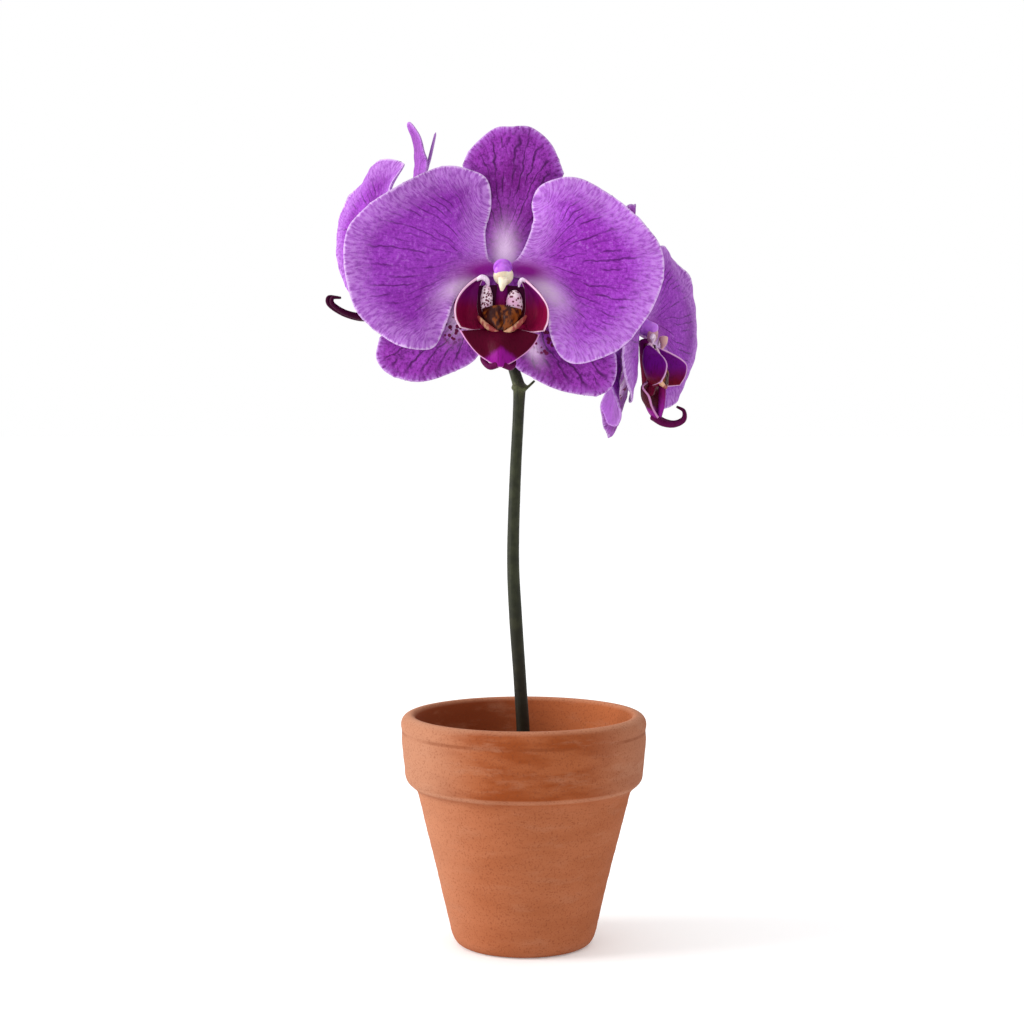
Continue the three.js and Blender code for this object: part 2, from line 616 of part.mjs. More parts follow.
    ? [
        [[-1.6, 13.0, -30.0], [-4.0, 12.0, -30.6], [-6.0, 10.2, -28.8], [-6.4, 8.4, -26.8]],
        [[0.2, 13.0, -30.0], [2.4, 11.4, -30.8], [3.4, 9.2, -29.6], [3.2, 7.4, -27.8]],
      ]
    : [
        [[-0.7, 4.6, -30.2], [-0.9, 8.0, -32.4], [-1.0, 12.0, -33.0], [-1.2, 15.3, -31.4],
          [-1.4, 15.4, -28.4], [-1.5, 13.0, -26.9]],
        [[0.2, 4.6, -30.2], [0.6, 7.9, -32.0], [0.9, 11.6, -32.5], [1.2, 14.6, -31.0],
          [1.5, 14.7, -28.4], [1.7, 12.7, -27.1]],
      ];
  const stretched = ([x, n, z]) => [x, 4.6 + reach * (n - 4.6), z + rise * (n - 4.6)];
  const curls = tendrils.map((path) =>
    tube(place(path.map(stretched)), hanging ? [1.1, 1.0, 0.8, 0.5] : [1.5, 1.2, 0.95, 0.8, 0.65, 0.42], 9, 6),
  );
  return joined([
    claw, saddle, middle, keel, leftLobe, rightLobe, ...callus, ...arms, ...ears, web, ...curls,
  ]);
}

// The column stands forward from the centre, and its cap covers the end of it.
function makeColumn() {
  return tube(
    [[0, -COLUMN_FOOT - 1.5, 0], [0, -2.0, -0.4], [0, -3.2, -0.9], [0, -4.3, -1.4]],
    [3.0, 2.75, 2.75, 2.7],
    4,
    12,
  );
}

function makeCap() {
  const dome = new THREE.LatheGeometry(
    [[0, 0], [2.9, 0], [3.2, 0.9], [2.7, 2.0], [1.5, 2.8], [0, 3.1]].map(
      ([r, z]) => new THREE.Vector2(r, z),
    ),
    12,
  );
  dome.rotateX(Math.PI + 0.15);
  dome.translate(0.2, -5.9, -2.4);
  const beak = tube(
    [[0.1, -7.8, -3.8], [-0.1, -7.9, -5.5], [-0.3, -7.4, -7.2]],
    [1.6, 1.2, 0.5],
    4,
    8,
  );
  return solidOf(dome).add(beak);
}

const plant = new THREE.Group();
plant.add(piece("pot", makePot(), COLOURS.clay, 0.9));
plant.add(piece("potting_mix", makeMix(), COLOURS.mix, 1));
plant.add(piece("flower_stem", makeStem(), COLOURS.stem, 0.6));

for (const [bloom, { at, turn, mirrored, lipDrop, tendril, lobe }] of Object.entries(BLOOMS)) {
  const group = new THREE.Group();
  group.position.set(...at);
  group.rotation.z = THREE.MathUtils.degToRad(turn);
  for (const [name, form] of Object.entries(FORMS[bloom])) {
    const swapped = name.includes("left")
      ? name.replace("left", "right")
      : name.replace("right", "left");
    const outline = OUTLINES[mirrored ? swapped : name];
    const layer = name.includes("petal") ? PETAL_LAYER : SEPAL_LAYER;
    const colour = name.includes("petal") ? COLOURS.petal : COLOURS.sepal;
    let body = makeBlade(outline, form, layer, mirrored);
    if (bloom === "left" && name === "dorsal_sepal") body = body.add(makeProng());
    group.add(piece(`${bloom}_${name}`, body, colour, 0.55));
  }
  const lip = makeLip(bloom === "front", mirrored, lipDrop, tendril, lobe);
  group.add(piece(`${bloom}_lip`, lip, COLOURS.lip, 0.45));
  group.add(piece(`${bloom}_column`, makeColumn(), COLOURS.column, 0.5));
  group.add(piece(`${bloom}_anther_cap`, makeCap(), COLOURS.cap, 0.5));
  plant.add(group);
}

export default plant;
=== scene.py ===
# %% [markdown]
# # A moth orchid stem in a clay pot
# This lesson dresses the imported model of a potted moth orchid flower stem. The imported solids
# are plain, and each step below makes one real part of the plant again with its fine shape
# and its finish. Everything is in the same frame as the solids, so nothing has to be fitted.

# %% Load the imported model
import math
import random

import bmesh
import bpy
import numpy as np
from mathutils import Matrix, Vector, noise


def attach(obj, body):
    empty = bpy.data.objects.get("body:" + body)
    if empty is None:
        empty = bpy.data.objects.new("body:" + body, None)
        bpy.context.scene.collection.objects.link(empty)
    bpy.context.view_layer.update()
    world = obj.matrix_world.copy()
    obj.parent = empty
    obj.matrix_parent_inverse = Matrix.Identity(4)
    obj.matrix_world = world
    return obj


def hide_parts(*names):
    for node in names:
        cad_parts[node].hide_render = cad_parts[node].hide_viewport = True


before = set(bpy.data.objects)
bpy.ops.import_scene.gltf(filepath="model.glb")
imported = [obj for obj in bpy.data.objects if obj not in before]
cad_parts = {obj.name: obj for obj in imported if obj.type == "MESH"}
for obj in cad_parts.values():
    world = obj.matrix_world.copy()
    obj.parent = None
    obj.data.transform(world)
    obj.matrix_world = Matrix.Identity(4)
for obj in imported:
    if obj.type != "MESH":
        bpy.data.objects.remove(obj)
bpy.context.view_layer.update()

# %% [markdown]
# ## Camera
# The photograph shows the lip of the pot and its foot as two ellipses. Their heights give the
# camera's height and distance, and the width of the lip gives the focal length. A camera could
# also be placed by eye, but the ellipses leave nothing to guess, so their numbers are used.

# %% Place the camera
MM = 0.001
CAMERA_AT = (-3.86, -693.0, 184.0)  # millimetres
CAMERA_PITCH = 0.0622  # radians below the horizon
CAMERA_LENS = 75.51


def into_scene(name, data):
    """A new object that holds the data, put into the scene."""
    made = bpy.data.objects.new(name, data)
    bpy.context.scene.collection.objects.link(made)
    return made


camera_data = bpy.data.cameras.new("camera")
camera_data.lens = CAMERA_LENS
camera_data.sensor_width = 36
camera = into_scene("camera", camera_data)
camera.location = [c * MM for c in CAMERA_AT]
camera.rotation_euler = (math.pi / 2 - CAMERA_PITCH, 0, 0)
bpy.context.scene.camera = camera
print("camera lens", camera_data.lens, "mm")

# %% [markdown]
# ## Helpers for finishes
# A finish is a network of nodes. Written out call by call it is long, so each output is wrapped
# as a value that adds and multiplies like a number, and a few short helpers fade between two
# values, mix two colours and add grain. Colours are given as the 0 to 255 numbers that a paint
# program shows, and turned into the linear values that light adds up in.

# %% Colours
LIGHT_LEVEL = 1.1  # how much brighter than 1 a surface is lit on the side of the main light


def paint(red, green, blue):
    """A linear colour from the three numbers of a paint program, less the light on it."""
    parts = [c / 255 for c in (red, green, blue)]
    linear = [c / 12.92 if c <= 0.04045 else ((c + 0.055) / 1.055) ** 2.4 for c in parts]
    return (*[c / LIGHT_LEVEL for c in linear], 1.0)


print("white paint reflects", round(paint(255, 255, 255)[0], 3))


# %% Values that add and multiply
class Value:
    """What a finish works out at each point of a surface, ready for sums."""

    def __init__(self, socket):
        self.socket, self.tree = socket, socket.id_data

    def __add__(self, other):
        return maths("ADD", self, other)

    def __sub__(self, other):
        return maths("SUBTRACT", self, other)

    def __rsub__(self, other):
        return maths("SUBTRACT", other, self)

    def __mul__(self, other):
        return maths("MULTIPLY", self, other)

    def __abs__(self):
        return maths("ABSOLUTE", self)


def add_node(tree, kind, values=None, out=0, **settings):
    """One output of a new node, once its settings are made and its inputs set or linked."""
    made = tree.nodes.new(kind)
    for key, value in settings.items():
        setattr(made, key, value)
    for key, value in (values or {}).items():
        if isinstance(value, Value):
            tree.links.new(value.socket, made.inputs[key])
        else:
            made.inputs[key].default_value = value
    return Value(made.outputs[out])


def maths(operation, *numbers):
    """The result of one sum on one or two numbers, at least one of them a value."""
    tree = next(n.tree for n in numbers if isinstance(n, Value))
    return add_node(tree, "ShaderNodeMath", dict(enumerate(numbers)), operation=operation)


# %% Fading, mixing and grain
def fade(value, start, end):
    """0 where value is at start, 1 where it is at end, and smooth between them."""
    ends = {"Value": value, "From Min": start, "From Max": end}
    return add_node(value.tree, "ShaderNodeMapRange", ends, interpolation_type="SMOOTHSTEP")


def mixed(share, first, second):
    """The first colour going over to the second as share goes from 0 to 1."""
    colours = {0: share, 6: first, 7: second}
    return add_node(share.tree, "ShaderNodeMix", colours, out=2, data_type="RGBA")


def squeezed(where, scale):
    """A place whose three directions are scaled, so that grain from it is drawn out."""
    return add_node(where.tree, "ShaderNodeMapping", {"Vector": where, "Scale": scale})


def grain(where, scale, detail=3.0, roughness=0.55):
    """Soft random values between 0 and 1, from a place in space."""
    values = {"Vector": where, "Scale": scale, "Detail": detail, "Roughness": roughness}
    return add_node(where.tree, "ShaderNodeTexNoise", values)


def parts_of(place):
    """The three numbers of a place or of a stored map."""
    made = place.tree.nodes.new("ShaderNodeSeparateXYZ")
    place.tree.links.new(place.socket, made.inputs[0])
    return [Value(part) for part in made.outputs]


# %% Starting and completing a finish
def start_finish(name, **surface):
    """A material whose shader has its plain inputs set."""
    material = bpy.data.materials.new(name)
    material.use_nodes = True
    shader = material.node_tree.nodes["Principled BSDF"]
    for key, value in surface.items():
        shader.inputs[key.replace("_", " ").title().replace("Ior", "IOR")].default_value = value
    return material


def placed(material):
    """The place on the piece, in metres."""
    return add_node(material.node_tree, "ShaderNodeTexCoord", out="Object")


def stored(material, name):
    """The three numbers that a mesh keeps for each of its points under a name."""
    tree = material.node_tree
    return parts_of(add_node(tree, "ShaderNodeAttribute", out="Vector", attribute_name=name))


def complete(material, colour, height, depth, strength=1.0):
    """The material with its colour, and with bumps of a depth in metres from a 0 to 1 height."""
    tree = material.node_tree
    values = {"Height": height, "Distance": depth, "Strength": strength}
    bump = add_node(tree, "ShaderNodeBump", values)
    shader = tree.nodes["Principled BSDF"]
    tree.links.new(colour.socket, shader.inputs["Base Color"])
    tree.links.new(bump.socket, shader.inputs["Normal"])
    return material


print("finish helpers ready")

# %% [markdown]
# ## Helpers for shapes
# Petals, lobes and stems all follow smooth curves through a few points. The curve here is the
# plain Catmull-Rom spline, the same that the solids were made with, so the fine pieces land
# exactly on them. A mesh could also be drawn point by point, but a formula can be as fine as
# the look needs.

# %% Smooth curves
def spline(points, at):
    """Points at shares of a smooth curve through the given points, with even steps between."""
    points = np.asarray(points, float)
    last = len(points) - 1
    place = np.clip(np.asarray(at, float), 0, 1) * last
    k = np.minimum(place.astype(int), last - 1)
    padded = np.concatenate([[2 * points[0] - points[1]], points, [2 * points[-1] - points[-2]]])
    w = (place - k).reshape(-1, *[1] * (points.ndim - 1))
    a, b, c, d = (padded[k + n] for n in range(4))
    slope_in, slope_out = (c - a) / 2, (d - b) / 2
    bend = -3 * b + 3 * c - 2 * slope_in - slope_out
    return b + slope_in * w + bend * w**2 + (2 * b - 2 * c + slope_in + slope_out) * w**3


def even_spline(points, at):
    """The same curve, but with shares of its length."""
    ticks = np.linspace(0, 1, 401)
    dense = spline(points, ticks)
    length = np.concatenate([[0], np.cumsum(np.linalg.norm(np.diff(dense, axis=0), axis=1))])
    return spline(points, np.interp(np.asarray(at) * length[-1], length, ticks))


def smoothstep(value):
    held = np.clip(value, 0, 1)
    return held * held * (3 - 2 * held)


# %% Meshes from points
def make_piece(name, points, faces, finish, replaced, flat=False, maps=None):
    """A mesh object in the shared frame from points in millimetres, riding on the one body."""
    mesh = bpy.data.meshes.new(name)
    mesh.from_pydata((np.asarray(points) * MM).tolist(), [], faces)
    mesh.update()
    for key, values in (maps or {}).items():
        layer = mesh.attributes.new(key, "FLOAT_VECTOR", "POINT")
        layer.data.foreach_set("vector", np.asarray(values, np.float32).ravel())
    for one in finish if isinstance(finish, list) else [finish]:
        mesh.materials.append(one)
    if not flat:
        mesh.shade_smooth()
    piece = into_scene(name, mesh)
    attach(piece, "root")
    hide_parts(replaced)
    return piece


# %% Thin sheets
def sheet_faces(rows, columns):
    """Faces of a closed thin body: its front, its back and the rim between them."""
    wide = columns + 1
    count = (rows + 1) * wide
    grid = np.arange(count).reshape(rows + 1, wide)
    a, b = grid[:-1, :-1].ravel(), grid[:-1, 1:].ravel()
    c, d = grid[1:, :-1].ravel(), grid[1:, 1:].ravel()
    front = np.stack([a, c, d, b], 1)
    back = np.stack([a, b, d, c], 1) + count
    rim = np.concatenate([grid[0, :-1], grid[:-1, -1], grid[-1, :0:-1], grid[:0:-1, 0]])
    following = np.roll(rim, -1)
    side = np.stack([rim, following, following + count, rim + count], 1)
    return np.concatenate([front, back, side]).tolist()


def normals_of(surface):
    """Unit normals of a grid of points."""
    along = np.gradient(surface, axis=0)
    across = np.gradient(surface, axis=1)
    normal = np.cross(along, across)
    return normal / np.maximum(np.linalg.norm(normal, axis=2, keepdims=True), 1e-9)


def thick_sheet(surface, thickness):
    """Points and faces of a thin closed body on both sides of a grid of points."""
    half = normals_of(surface) * (np.asarray(thickness) / 2).reshape(*np.shape(thickness), 1)
    both = np.concatenate([(surface + half).reshape(-1, 3), (surface - half).reshape(-1, 3)])
    return both, sheet_faces(surface.shape[0] - 1, surface.shape[1] - 1)


# %% [markdown]
# ## Round and joined bodies
# Stalks, ridges and the column are round along a bent path, and the swellings are egg-shaped.
# Both are rings of points with faces between them. Overlapping bodies that grew as one are put
# in one mesh, and the place of each body in it is kept, so that each can have its own finish.

# %% Rings of points
END_CAPS = [(0.5, 0.02), (0.46, 0.35), (0.36, 0.7), (0.2, 0.92)]  # shares of the radius: out, wide


def ring_faces(rings, sides):
    """Faces between rings of points that lie one after another, with both ends closed."""
    here = np.arange(sides)
    onward = np.roll(here, -1)
    faces = []
    for r in range(rings - 1):
        a, b = r * sides, (r + 1) * sides
        faces += np.stack([a + here, a + onward, b + onward, b + here], 1).tolist()
    return faces + [here[::-1].tolist(), ((rings - 1) * sides + here).tolist()]


def circle(radius, z, sides):
    """Points round the upright axis."""
    turn = np.linspace(0, 2 * math.pi, sides, endpoint=False)
    return [(radius * math.cos(t), radius * math.sin(t), z) for t in turn]


print("round end caps:", len(END_CAPS), "rings")


# %% Tubes and eggs
def tube(path, radii, steps, sides):
    """Points and faces of a round body along a path, with rounded ends."""
    ticks = np.linspace(0, 1, steps + 1)
    middle = spline(path, ticks)
    radius = spline(np.asarray(radii, float)[:, None], ticks)[:, 0]
    tangent = np.gradient(middle, axis=0)
    tangent /= np.linalg.norm(tangent, axis=1, keepdims=True)
    normal = np.cross(tangent[0], [0.0, 0.0, 1.0] if abs(tangent[0][2]) < 0.9 else [0.0, 1.0, 0.0])
    turn = np.linspace(0, 2 * math.pi, sides, endpoint=False)[:, None]
    circles = []
    for along in tangent:
        normal = normal - along * normal.dot(along)
        normal /= np.linalg.norm(normal)
        circles.append(np.cos(turn) * normal + np.sin(turn) * np.cross(along, normal))
    start_caps = [
        middle[0] - tangent[0] * out * radius[0] + circles[0] * radius[0] * wide
        for out, wide in END_CAPS
    ]
    body = [centre + ring * size for centre, ring, size in zip(middle, circles, radius)]
    end_caps = [
        middle[-1] + tangent[-1] * out * radius[-1] + circles[-1] * radius[-1] * wide
        for out, wide in reversed(END_CAPS)
    ]
    rings = start_caps + body + end_caps
    return np.concatenate(rings), ring_faces(len(rings), sides)


def ellipsoid(centre, radii, wide=24, high=16):
    """Points and faces of an egg-shaped body."""
    rise = np.linspace(-math.pi / 2, math.pi / 2, high + 1)
    rise[0] += 0.02
    rise[-1] -= 0.02
    turn = np.linspace(0, 2 * math.pi, wide, endpoint=False)
    rise, turn = np.meshgrid(rise, turn, indexing="ij")
    ball = np.stack([np.cos(rise) * np.cos(turn), np.cos(rise) * np.sin(turn), np.sin(rise)], -1)
    return (ball * radii + np.array(centre)).reshape(-1, 3), ring_faces(high + 1, wide)


# %% Bodies in one mesh
def together(bodies):
    """Points and faces of several bodies as one mesh, and which body each face is from."""
    points, faces, owner = [], [], []
    shift = 0
    for k, (places, polygons) in enumerate(bodies):
        points.append(np.asarray(places))
        faces += [[v + shift for v in polygon] for polygon in polygons]
        owner += [k] * len(polygons)
        shift += len(places)
    return np.concatenate(points), faces, owner


print("shape helpers ready")

# %% [markdown]
# ## Clay pot
# The real pot is thrown or pressed in orange clay and fired without a glaze. It is a turned
# form, so its outline is spun round the middle axis. A screw modifier would do the same, but
# spinning the points by hand lets each ring wander a little, as soft clay does. The corners
# are eased by sliding each outline point toward its neighbours.

# %% Spin the pot
POT_SIDES = 176

pot_outline = [
    (0, 0), (20.9, 0), (22.3, 0.9), (23.4, 3.2), (28.9, 26.8), (34.4, 49.2), (34.8, 51.0),
    (37.5, 53.0), (38.5, 54.3), (39.75, 67.0), (39.7, 69.2), (39.3, 69.9), (39.7, 70.6),
    (40.0, 72.6), (39.4, 74.2), (37.8, 75.3), (36.2, 75.5), (35.3, 74.8), (34.6, 72.7),
    (27.8, 42.0), (18.8, 8.0), (16.3, 6.0), (0, 6.0),
]


def refine(outline, step, passes):
    """The outline with points a step apart and its corners eased."""
    fine = []
    for (r0, z0), (r1, z1) in zip(outline, outline[1:]):
        count = max(1, round(math.hypot(r1 - r0, z1 - z0) / step))
        fine += [(r0 + (r1 - r0) * k / count, z0 + (z1 - z0) * k / count) for k in range(count)]
    fine = np.array(fine + [outline[-1]], float)
    for _ in range(passes):
        fine[1:-1] = fine[1:-1] * 0.5 + (fine[:-2] + fine[2:]) * 0.25
    return fine


def wander(r, z, turn):
    """How far the clay stands out of a true circle at a place."""
    x, y = math.cos(turn), math.sin(turn)
    slow = noise.noise(Vector((x * 1.1, y * 1.1, z * 0.03)))
    band = noise.noise(Vector((x * 0.5, y * 0.5, z * 0.55)))
    return 0.22 * slow + 0.09 * band


profile = refine(pot_outline, 0.75, 3)[1:-1]
pot_points = []
for r, z in profile:
    for k in range(POT_SIDES):
        turn = 2 * math.pi * k / POT_SIDES
        out = r + wander(r, z, turn) * min(1, z / 4) * min(1, r / 10)
        pot_points.append((out * math.cos(turn), out * math.sin(turn), z))
pot_faces = ring_faces(len(profile), POT_SIDES)
print("pot outline points:", len(profile))

# %% [markdown]
# ## The finish of fired clay
# Unglazed clay is matt, with fine sand in it. Handling and water leave paler smears of salts,
# mostly on the band below the lip, and the clay under them is more orange. The top of the lip
# and the edge of the band are paler. The colour also holds painted light and shade: a painted
# sheen on the left side, which faces the lamp, and on both flanks of the band, painted shade in
# the shallow groove below the lip, and inside the pot painted shade on the left wall and painted
# light on the right. Noise drawn out round the pot gives the smears and the broad changes of
# colour, and fine noise the sand. Heights, distances from the axis and places from left to right
# set everything else.

# %% Fired clay
BAND_FOOT = 0.0530  # heights in metres
GROOVE = 0.0700


def edge_line(height, middle, half_width):
    """1 at a height on the pot, fading to 0 at half_width above and below it."""
    return fade(abs(height - middle), half_width, half_width * 0.3)


def clay_finish():
    material = start_finish("fired_clay", roughness=0.9, specular_ior_level=0.1)
    where = placed(material)
    across, along, height = parts_of(where)
    radius = maths("POWER", across * across + along * along, 0.5)
    drawn_out = squeezed(where, (1.0, 1.0, 3.6))
    broad = grain(drawn_out, 42.0, 3.0)
    smear = fade(grain(drawn_out, 70.0, 5.0, 0.62), 0.5, 0.72)
    sand = grain(where, 1700.0, 2.0)
    on_band = fade(height, 0.050, 0.054)
    hollow = on_band * fade(radius, 0.0375, 0.0355)
    outside = 1.0 - hollow

    lower = mixed(fade(broad, 0.35, 0.65), paint(163, 93, 59), paint(170, 100, 66))
    upper = mixed(fade(broad, 0.38, 0.62), paint(143, 68, 30), paint(161, 89, 53))
    # Painted sheen: the band is paler toward both flanks, where it turns away from view, with a quarter of
    # the real salt smears mixed in.
    flank_sheen = fade(abs(across), 0.014, 0.038)
    upper = mixed(flank_sheen * 0.75 + smear * 0.25, upper, paint(166, 112, 86))
    # Painted shade and light inside the band: the inner wall is darker on the left, away from the lamp, and
    # lighter on the right, which faces it.
    inside = mixed(fade(across, -0.02, 0.03), paint(128, 56, 26), paint(176, 98, 58))
    colour = mixed(on_band, lower, mixed(hollow, upper, inside))
    # Painted sheen on the outside of the pot's left side, which faces the lamp.
    lamp_side_sheen = fade(across, -0.01, -0.034) * (outside * 0.4)
    colour = mixed(lamp_side_sheen, colour, paint(196, 144, 114))
    # The top of the lip and the edge of the band are paler.
    pale_edges = fade(height, 0.0738, 0.0752) * 0.5 + edge_line(height, BAND_FOOT, 0.0011) * 0.4
    colour = mixed(pale_edges, colour, paint(198, 142, 112))
    # Painted shade in the shallow groove below the lip.
    groove_shade = edge_line(height, GROOVE, 0.0008) * outside * (fade(broad, 0.35, 0.6) * 0.5)
    colour = mixed(groove_shade, colour, paint(112, 50, 22))
    colour = mixed(smear * 0.3, colour, paint(176, 120, 92))
    colour = mixed(fade(sand, 0.5, 0.72) * 0.5, colour, paint(120, 60, 36))
    return complete(material, colour, sand, 0.0001, 0.7)


clay_pot = make_piece("clay_pot", pot_points, pot_faces, clay_finish(), "pot")
print("fired clay on", clay_pot.name)

# %% [markdown]
# ## Drain holes
# Water runs out through three holes round the middle of the floor. They could be drawn into
# the floor's faces, but cutting them with cylinders is what a potter does too.

# %% Cut the drain holes
DRAIN_RADIUS = 3.5
DRAIN_CIRCLE = 12.0


def applied(holder):
    """The mesh of an object once its modifiers have done their work."""
    return bpy.data.meshes.new_from_object(holder.evaluated_get(bpy.context.evaluated_depsgraph_get()))


cutters = bmesh.new()
for k in range(3):
    turn = math.pi / 2 + 2 * math.pi * k / 3
    wide = DRAIN_RADIUS * MM
    made = bmesh.ops.create_cone(
        cutters, cap_ends=True, segments=40, radius1=wide, radius2=wide, depth=0.02
    )
    move = Vector((DRAIN_CIRCLE * math.cos(turn), DRAIN_CIRCLE * math.sin(turn), 3.0)) * MM
    bmesh.ops.translate(cutters, verts=made["verts"], vec=move)
cutter_mesh = bpy.data.meshes.new("drain_cutter")
cutters.to_mesh(cutter_mesh)
cutters.free()
cutter = into_scene("drain_cutter", cutter_mesh)
cut = clay_pot.modifiers.new("drain", "BOOLEAN")
cut.object, cut.solver = cutter, "EXACT"
with_holes = applied(clay_pot)
clay_pot.modifiers.clear()
clay_pot.data = with_holes
bpy.data.objects.remove(cutter)
print("pot faces:", len(with_holes.polygons))

# %% [markdown]
# ## Potting mix
# Orchids grow in chips of bark, not in soil. A heap of chips could be dropped in a physics
# simulation, but only its top shows. So a dark bed fills the pot, and angular chips are set on
# it by a seeded random choice, each one the hull of a few random points.

# %% The bed under the chips
MIX_TOP = 58.0
MIX_RELIEF = 1.8
MIX_RADIUS = 31.2
STEM_HOLE = 2.8
BED_SIDES = 96


def chip_height(x, y):
    """The height of the mix at a place."""
    coarse = math.sin(x * 0.71 + 1.3) * math.cos(y * 0.63 - 0.4)
    fine = math.sin(x * 1.27 - y * 0.9) * math.cos(y * 1.19 + x * 0.5 + 2)
    return MIX_TOP + MIX_RELIEF * (0.55 * coarse + 0.45 * fine)


bed_points = []
for r, z in [(0.4, 6.3), (16.1, 6.3), (18.45, 8.1), (27.45, 42.0), (MIX_RADIUS, MIX_TOP)]:
    bed_points += circle(r, z, BED_SIDES)
for share in np.linspace(0.97, STEM_HOLE / MIX_RADIUS, 26):
    for x, y, _ in circle(MIX_RADIUS * share, 0, BED_SIDES):
        rough = 0.5 * noise.noise(Vector((x * 0.9, y * 0.9, 0)))
        bed_points.append((x, y, chip_height(x, y) + rough))
for z in (50.0, 20.0):
    bed_points += circle(STEM_HOLE, z, BED_SIDES)
bed = (np.array(bed_points), ring_faces(len(bed_points) // BED_SIDES, BED_SIDES))
print("bed points:", len(bed_points))

# %% One bark chip
def bark_chip(chance):
    """Points and faces of one angular chip."""
    size = Vector((chance.uniform(2.2, 4.6), chance.uniform(1.4, 3.0), chance.uniform(0.7, 1.4)))
    hull = bmesh.new()
    for _ in range(13):
        p = Vector([chance.uniform(-1, 1) for _ in range(3)])
        p = p.normalized() * chance.uniform(0.82, 1.0)
        hull.verts.new([a * b for a, b in zip(p, size)])
    bmesh.ops.convex_hull(hull, input=hull.verts)
    bmesh.ops.delete(hull, geom=[v for v in hull.verts if not v.link_faces], context="VERTS")
    bmesh.ops.subdivide_edges(hull, edges=hull.edges, cuts=2, use_grid_fill=True)
    seed = Vector([chance.uniform(0, 50) for _ in range(3)])
    for v in hull.verts:
        fibre = noise.noise(Vector((v.co.x * 0.35, v.co.y * 1.9, v.co.z * 1.9)) + seed)
        v.co *= 1 + 0.10 * fibre
    hull.verts.index_update()
    points = [v.co.copy() for v in hull.verts]
    faces = [[v.index for v in f.verts] for f in hull.faces]
    hull.free()
    return points, faces


# %% Lay the chips
CHIP_COUNT = 210
CHIP_REACH = 28.6  # how far from the axis a chip's middle may be
CHIPS_WITHIN = (3.1, 31.0)  # no corner of a chip is nearer to the axis or further from it

chance = random.Random(11)
chips = []
while len(chips) < CHIP_COUNT:
    reach = math.sqrt(chance.uniform(0.03, 1)) * CHIP_REACH
    turn = chance.uniform(0, 2 * math.pi)
    points, faces = bark_chip(chance)
    spin = Vector((chance.gauss(0, 0.35), chance.gauss(0, 0.35), 1)).to_track_quat("Z", "Y")
    yaw = chance.uniform(0, 2 * math.pi)
    cos, sin = math.cos(yaw), math.sin(yaw)
    x, y = reach * math.cos(turn), reach * math.sin(turn)
    middle = Vector((x, y, chip_height(x, y) + chance.uniform(-0.4, 1.1)))
    laid = [spin @ Vector((p.x * cos - p.y * sin, p.x * sin + p.y * cos, p.z)) + middle for p in points]
    from_axis = [math.hypot(p.x, p.y) for p in laid]
    if min(from_axis) < CHIPS_WITHIN[0] or max(from_axis) > CHIPS_WITHIN[1]:
        continue
    chips.append((laid, faces))
mix_points, mix_faces, _ = together([bed] + chips)
print("bark chips:", len(chips), "faces:", len(mix_faces))

# %% [markdown]
# ## The finish of bark
# Chips of pine bark are red-brown outside and darker where they are damp. Stretched noise
# gives the fibres, and a slow noise makes one chip lighter than the next.

# %% Damp bark
def bark_finish():
    material = start_finish("damp_bark", roughness=0.85, specular_ior_level=0.2)
    where = placed(material)
    chip = grain(where, 260.0, 1.0)
    fibre = grain(squeezed(where, (1, 3.5, 3.5)), 600.0, 4.0, 0.65)
    colour = mixed(fade(chip, 0.35, 0.65), paint(62, 40, 27), paint(138, 92, 60))
    colour = mixed(fade(fibre, 0.5, 0.75) * 0.6, colour, paint(36, 22, 15))
    return complete(material, colour, fibre, 0.0004)


bark_mix = make_piece(
    "bark_chips", mix_points, mix_faces, bark_finish(), "potting_mix", flat=True
)
print("damp bark on", bark_mix.name)

# %% [markdown]
# ## Where the blooms sit
# Each bloom is built facing forward round its own centre, as right, forward and up, and then
# turned about the upright axis and moved to its place on the stem. That keeps one set of
# formulas for all three.

# %% Places of the three blooms
# For each bloom: its centre in millimetres, its turn in degrees, how far its lip hangs down as
# a share, how much further its tendrils reach and rise, and how far forward its left lobe is.
BLOOMS = {
    "front": {"at": (-6.7, -22, 218.2), "turn": 0, "drop": 1.0, "tendril": (1, 0), "lobe": 1},
    "left": {"at": (-47.0, 40, 229.8), "turn": -77, "drop": 0.8, "tendril": (1.34, 0.6), "lobe": 0.68},
    "right": {"at": (39.9, 38, 201.3), "turn": 72, "drop": 1.0, "tendril": (1, 0), "lobe": 1},
}


def on_plant(bloom, points):
    """Points given as right, forward and up in a bloom, in the frame of the whole plant."""
    right, forward, up = np.moveaxis(np.asarray(points, float), -1, 0)
    turn = math.radians(BLOOMS[bloom]["turn"])
    x = right * math.cos(turn) + forward * math.sin(turn)
    y = right * math.sin(turn) - forward * math.cos(turn)
    return np.stack([x, y, up], -1) + np.array(BLOOMS[bloom]["at"])


# %% [markdown]
# ## Stem
# The real stem is round and smooth, a little crooked, with a swollen node where a small bract
# clasps it, and each bloom hangs on its own stalk. The tubes overlap, so they are fused by a
# voxel remesh, which also rounds the places where they meet, as growth does. Joining the
# meshes as they are would leave hard creases there.

# %% Bodies of the stem
HUB_RADIUS = 3.3
HUB_END = -3.3 - 0.5 * HUB_RADIUS

